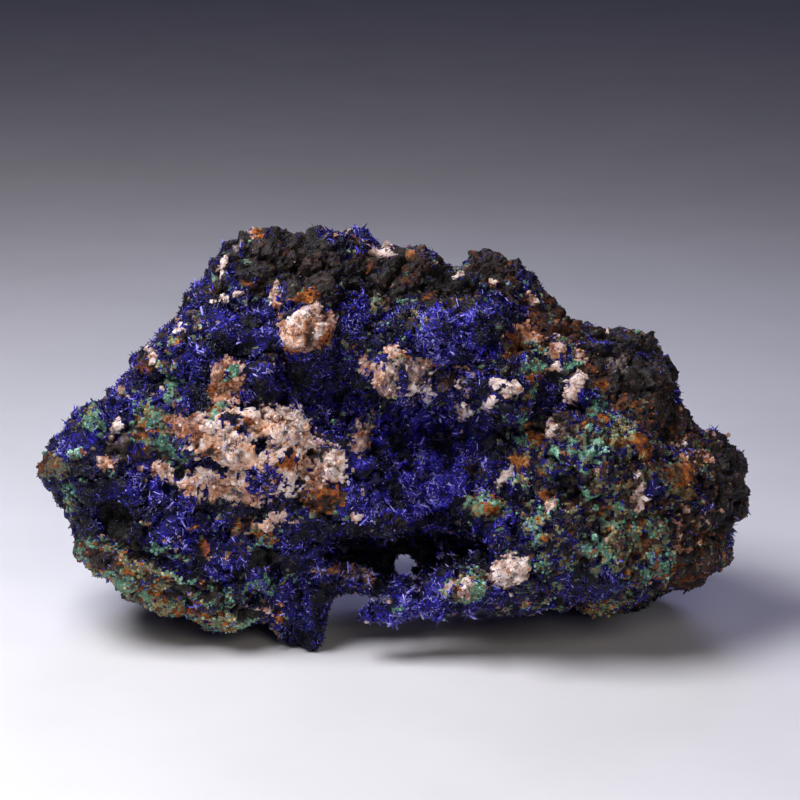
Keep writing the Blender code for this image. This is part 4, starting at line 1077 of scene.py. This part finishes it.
def build():
    """Lays the skin, then grows the crystals on it and strews the grains over it."""
    dice = np.random.default_rng(7)
    rock = Rock()
    finishes = [
        weathered_gossan(), earthy_limonite(), grape_malachite(), sugary_calcite(), azurite_bed(),
    ]
    lining = near_crust(rock)
    facing = (rock.middles[:, 1] < 2) | (rock.face_out @ TOWARDS_VIEWER > 0.2)
    make_skin(rock, "hollow_skin", lining, finishes, "azurite_crust")
    make_skin(rock, "rock_face", facing & ~lining, finishes, "matrix")
    make_skin(rock, "rock_back", ~facing & ~lining, finishes, "matrix")
    blue = rock.face_kind == AZURITE
    left = rock.middles[:, 0] < 0
    blade = blade_shape()
    needle = needle_shape()
    azurite = blue_azurite()
    grow_blades(rock, "hollow_blades", lining, 1.2, azurite, dice, blade)
    grow_blades(rock, "hollow_needles", lining, 2.2, azurite, dice, needle)
    for side, part in (("left", facing & left & ~lining), ("right", facing & ~left & ~lining)):
        grow_blades(rock, "blades_" + side, blue & part, 2.6, azurite, dice, blade)
        grow_blades(rock, "needles_" + side, blue & part, 4.0, azurite, dice, needle)
        grow_blades(rock, "stray_needles_" + side, ~blue & part, 0.7, azurite, dice, needle, 0.7)
    grow_blades(rock, "blades_back", blue & ~facing & ~lining, 0.6, azurite, dice, blade)
    grow_blades(rock, "needles_back", ~facing & ~lining, 0.5, azurite, dice, needle)
    grain = grain_shape()
    chip = chip_shape()
    block = block_shape()
    for kind, piece, near, behind, shape, size, flat, uneven, smooth in (
        (MALACHITE, "malachite_balls", 0.85, 0.2, grain, (0.2, 0.55), 0.8, 0.1, True),
        (MALACHITE, "malachite_beads", 2.3, 0.5, chip, (0.12, 0.35), 0.8, 0.1, True),
        (CALCITE, "calcite_grains", 1.2, 0.3, block, (0.12, 0.6), 0.45, 0.4, False),
        (CALCITE, "calcite_specks", 1.4, 0.3, chip, (0.12, 0.4), 0.5, 0.2, False),
        (LIMONITE, "limonite_crumbs", 2.2, 0.4, chip, (0.12, 0.5), 0.5, 0.3, False),
        (GOSSAN, "gossan_chips", 0.4, 0.2, chip, (0.15, 0.7), 0.35, 0.3, False),
    ):
        here = rock.face_kind == kind
        finish = finishes[kind]
        for end, part, density in (("", facing, near), ("_back", ~facing, behind)):
            strew(
                rock, piece + end, here & part, density, finish, dice,
                shape, size, flat, uneven, smooth,
            )
    for kind, piece in (
        (MALACHITE, "stray_malachite"), (CALCITE, "stray_calcite"), (LIMONITE, "stray_limonite"),
    ):
        strew(rock, piece, facing, 0.045, finishes[kind], dice, chip, (0.12, 0.3), 0.6, 0.3, False)
    set_studio()


build()
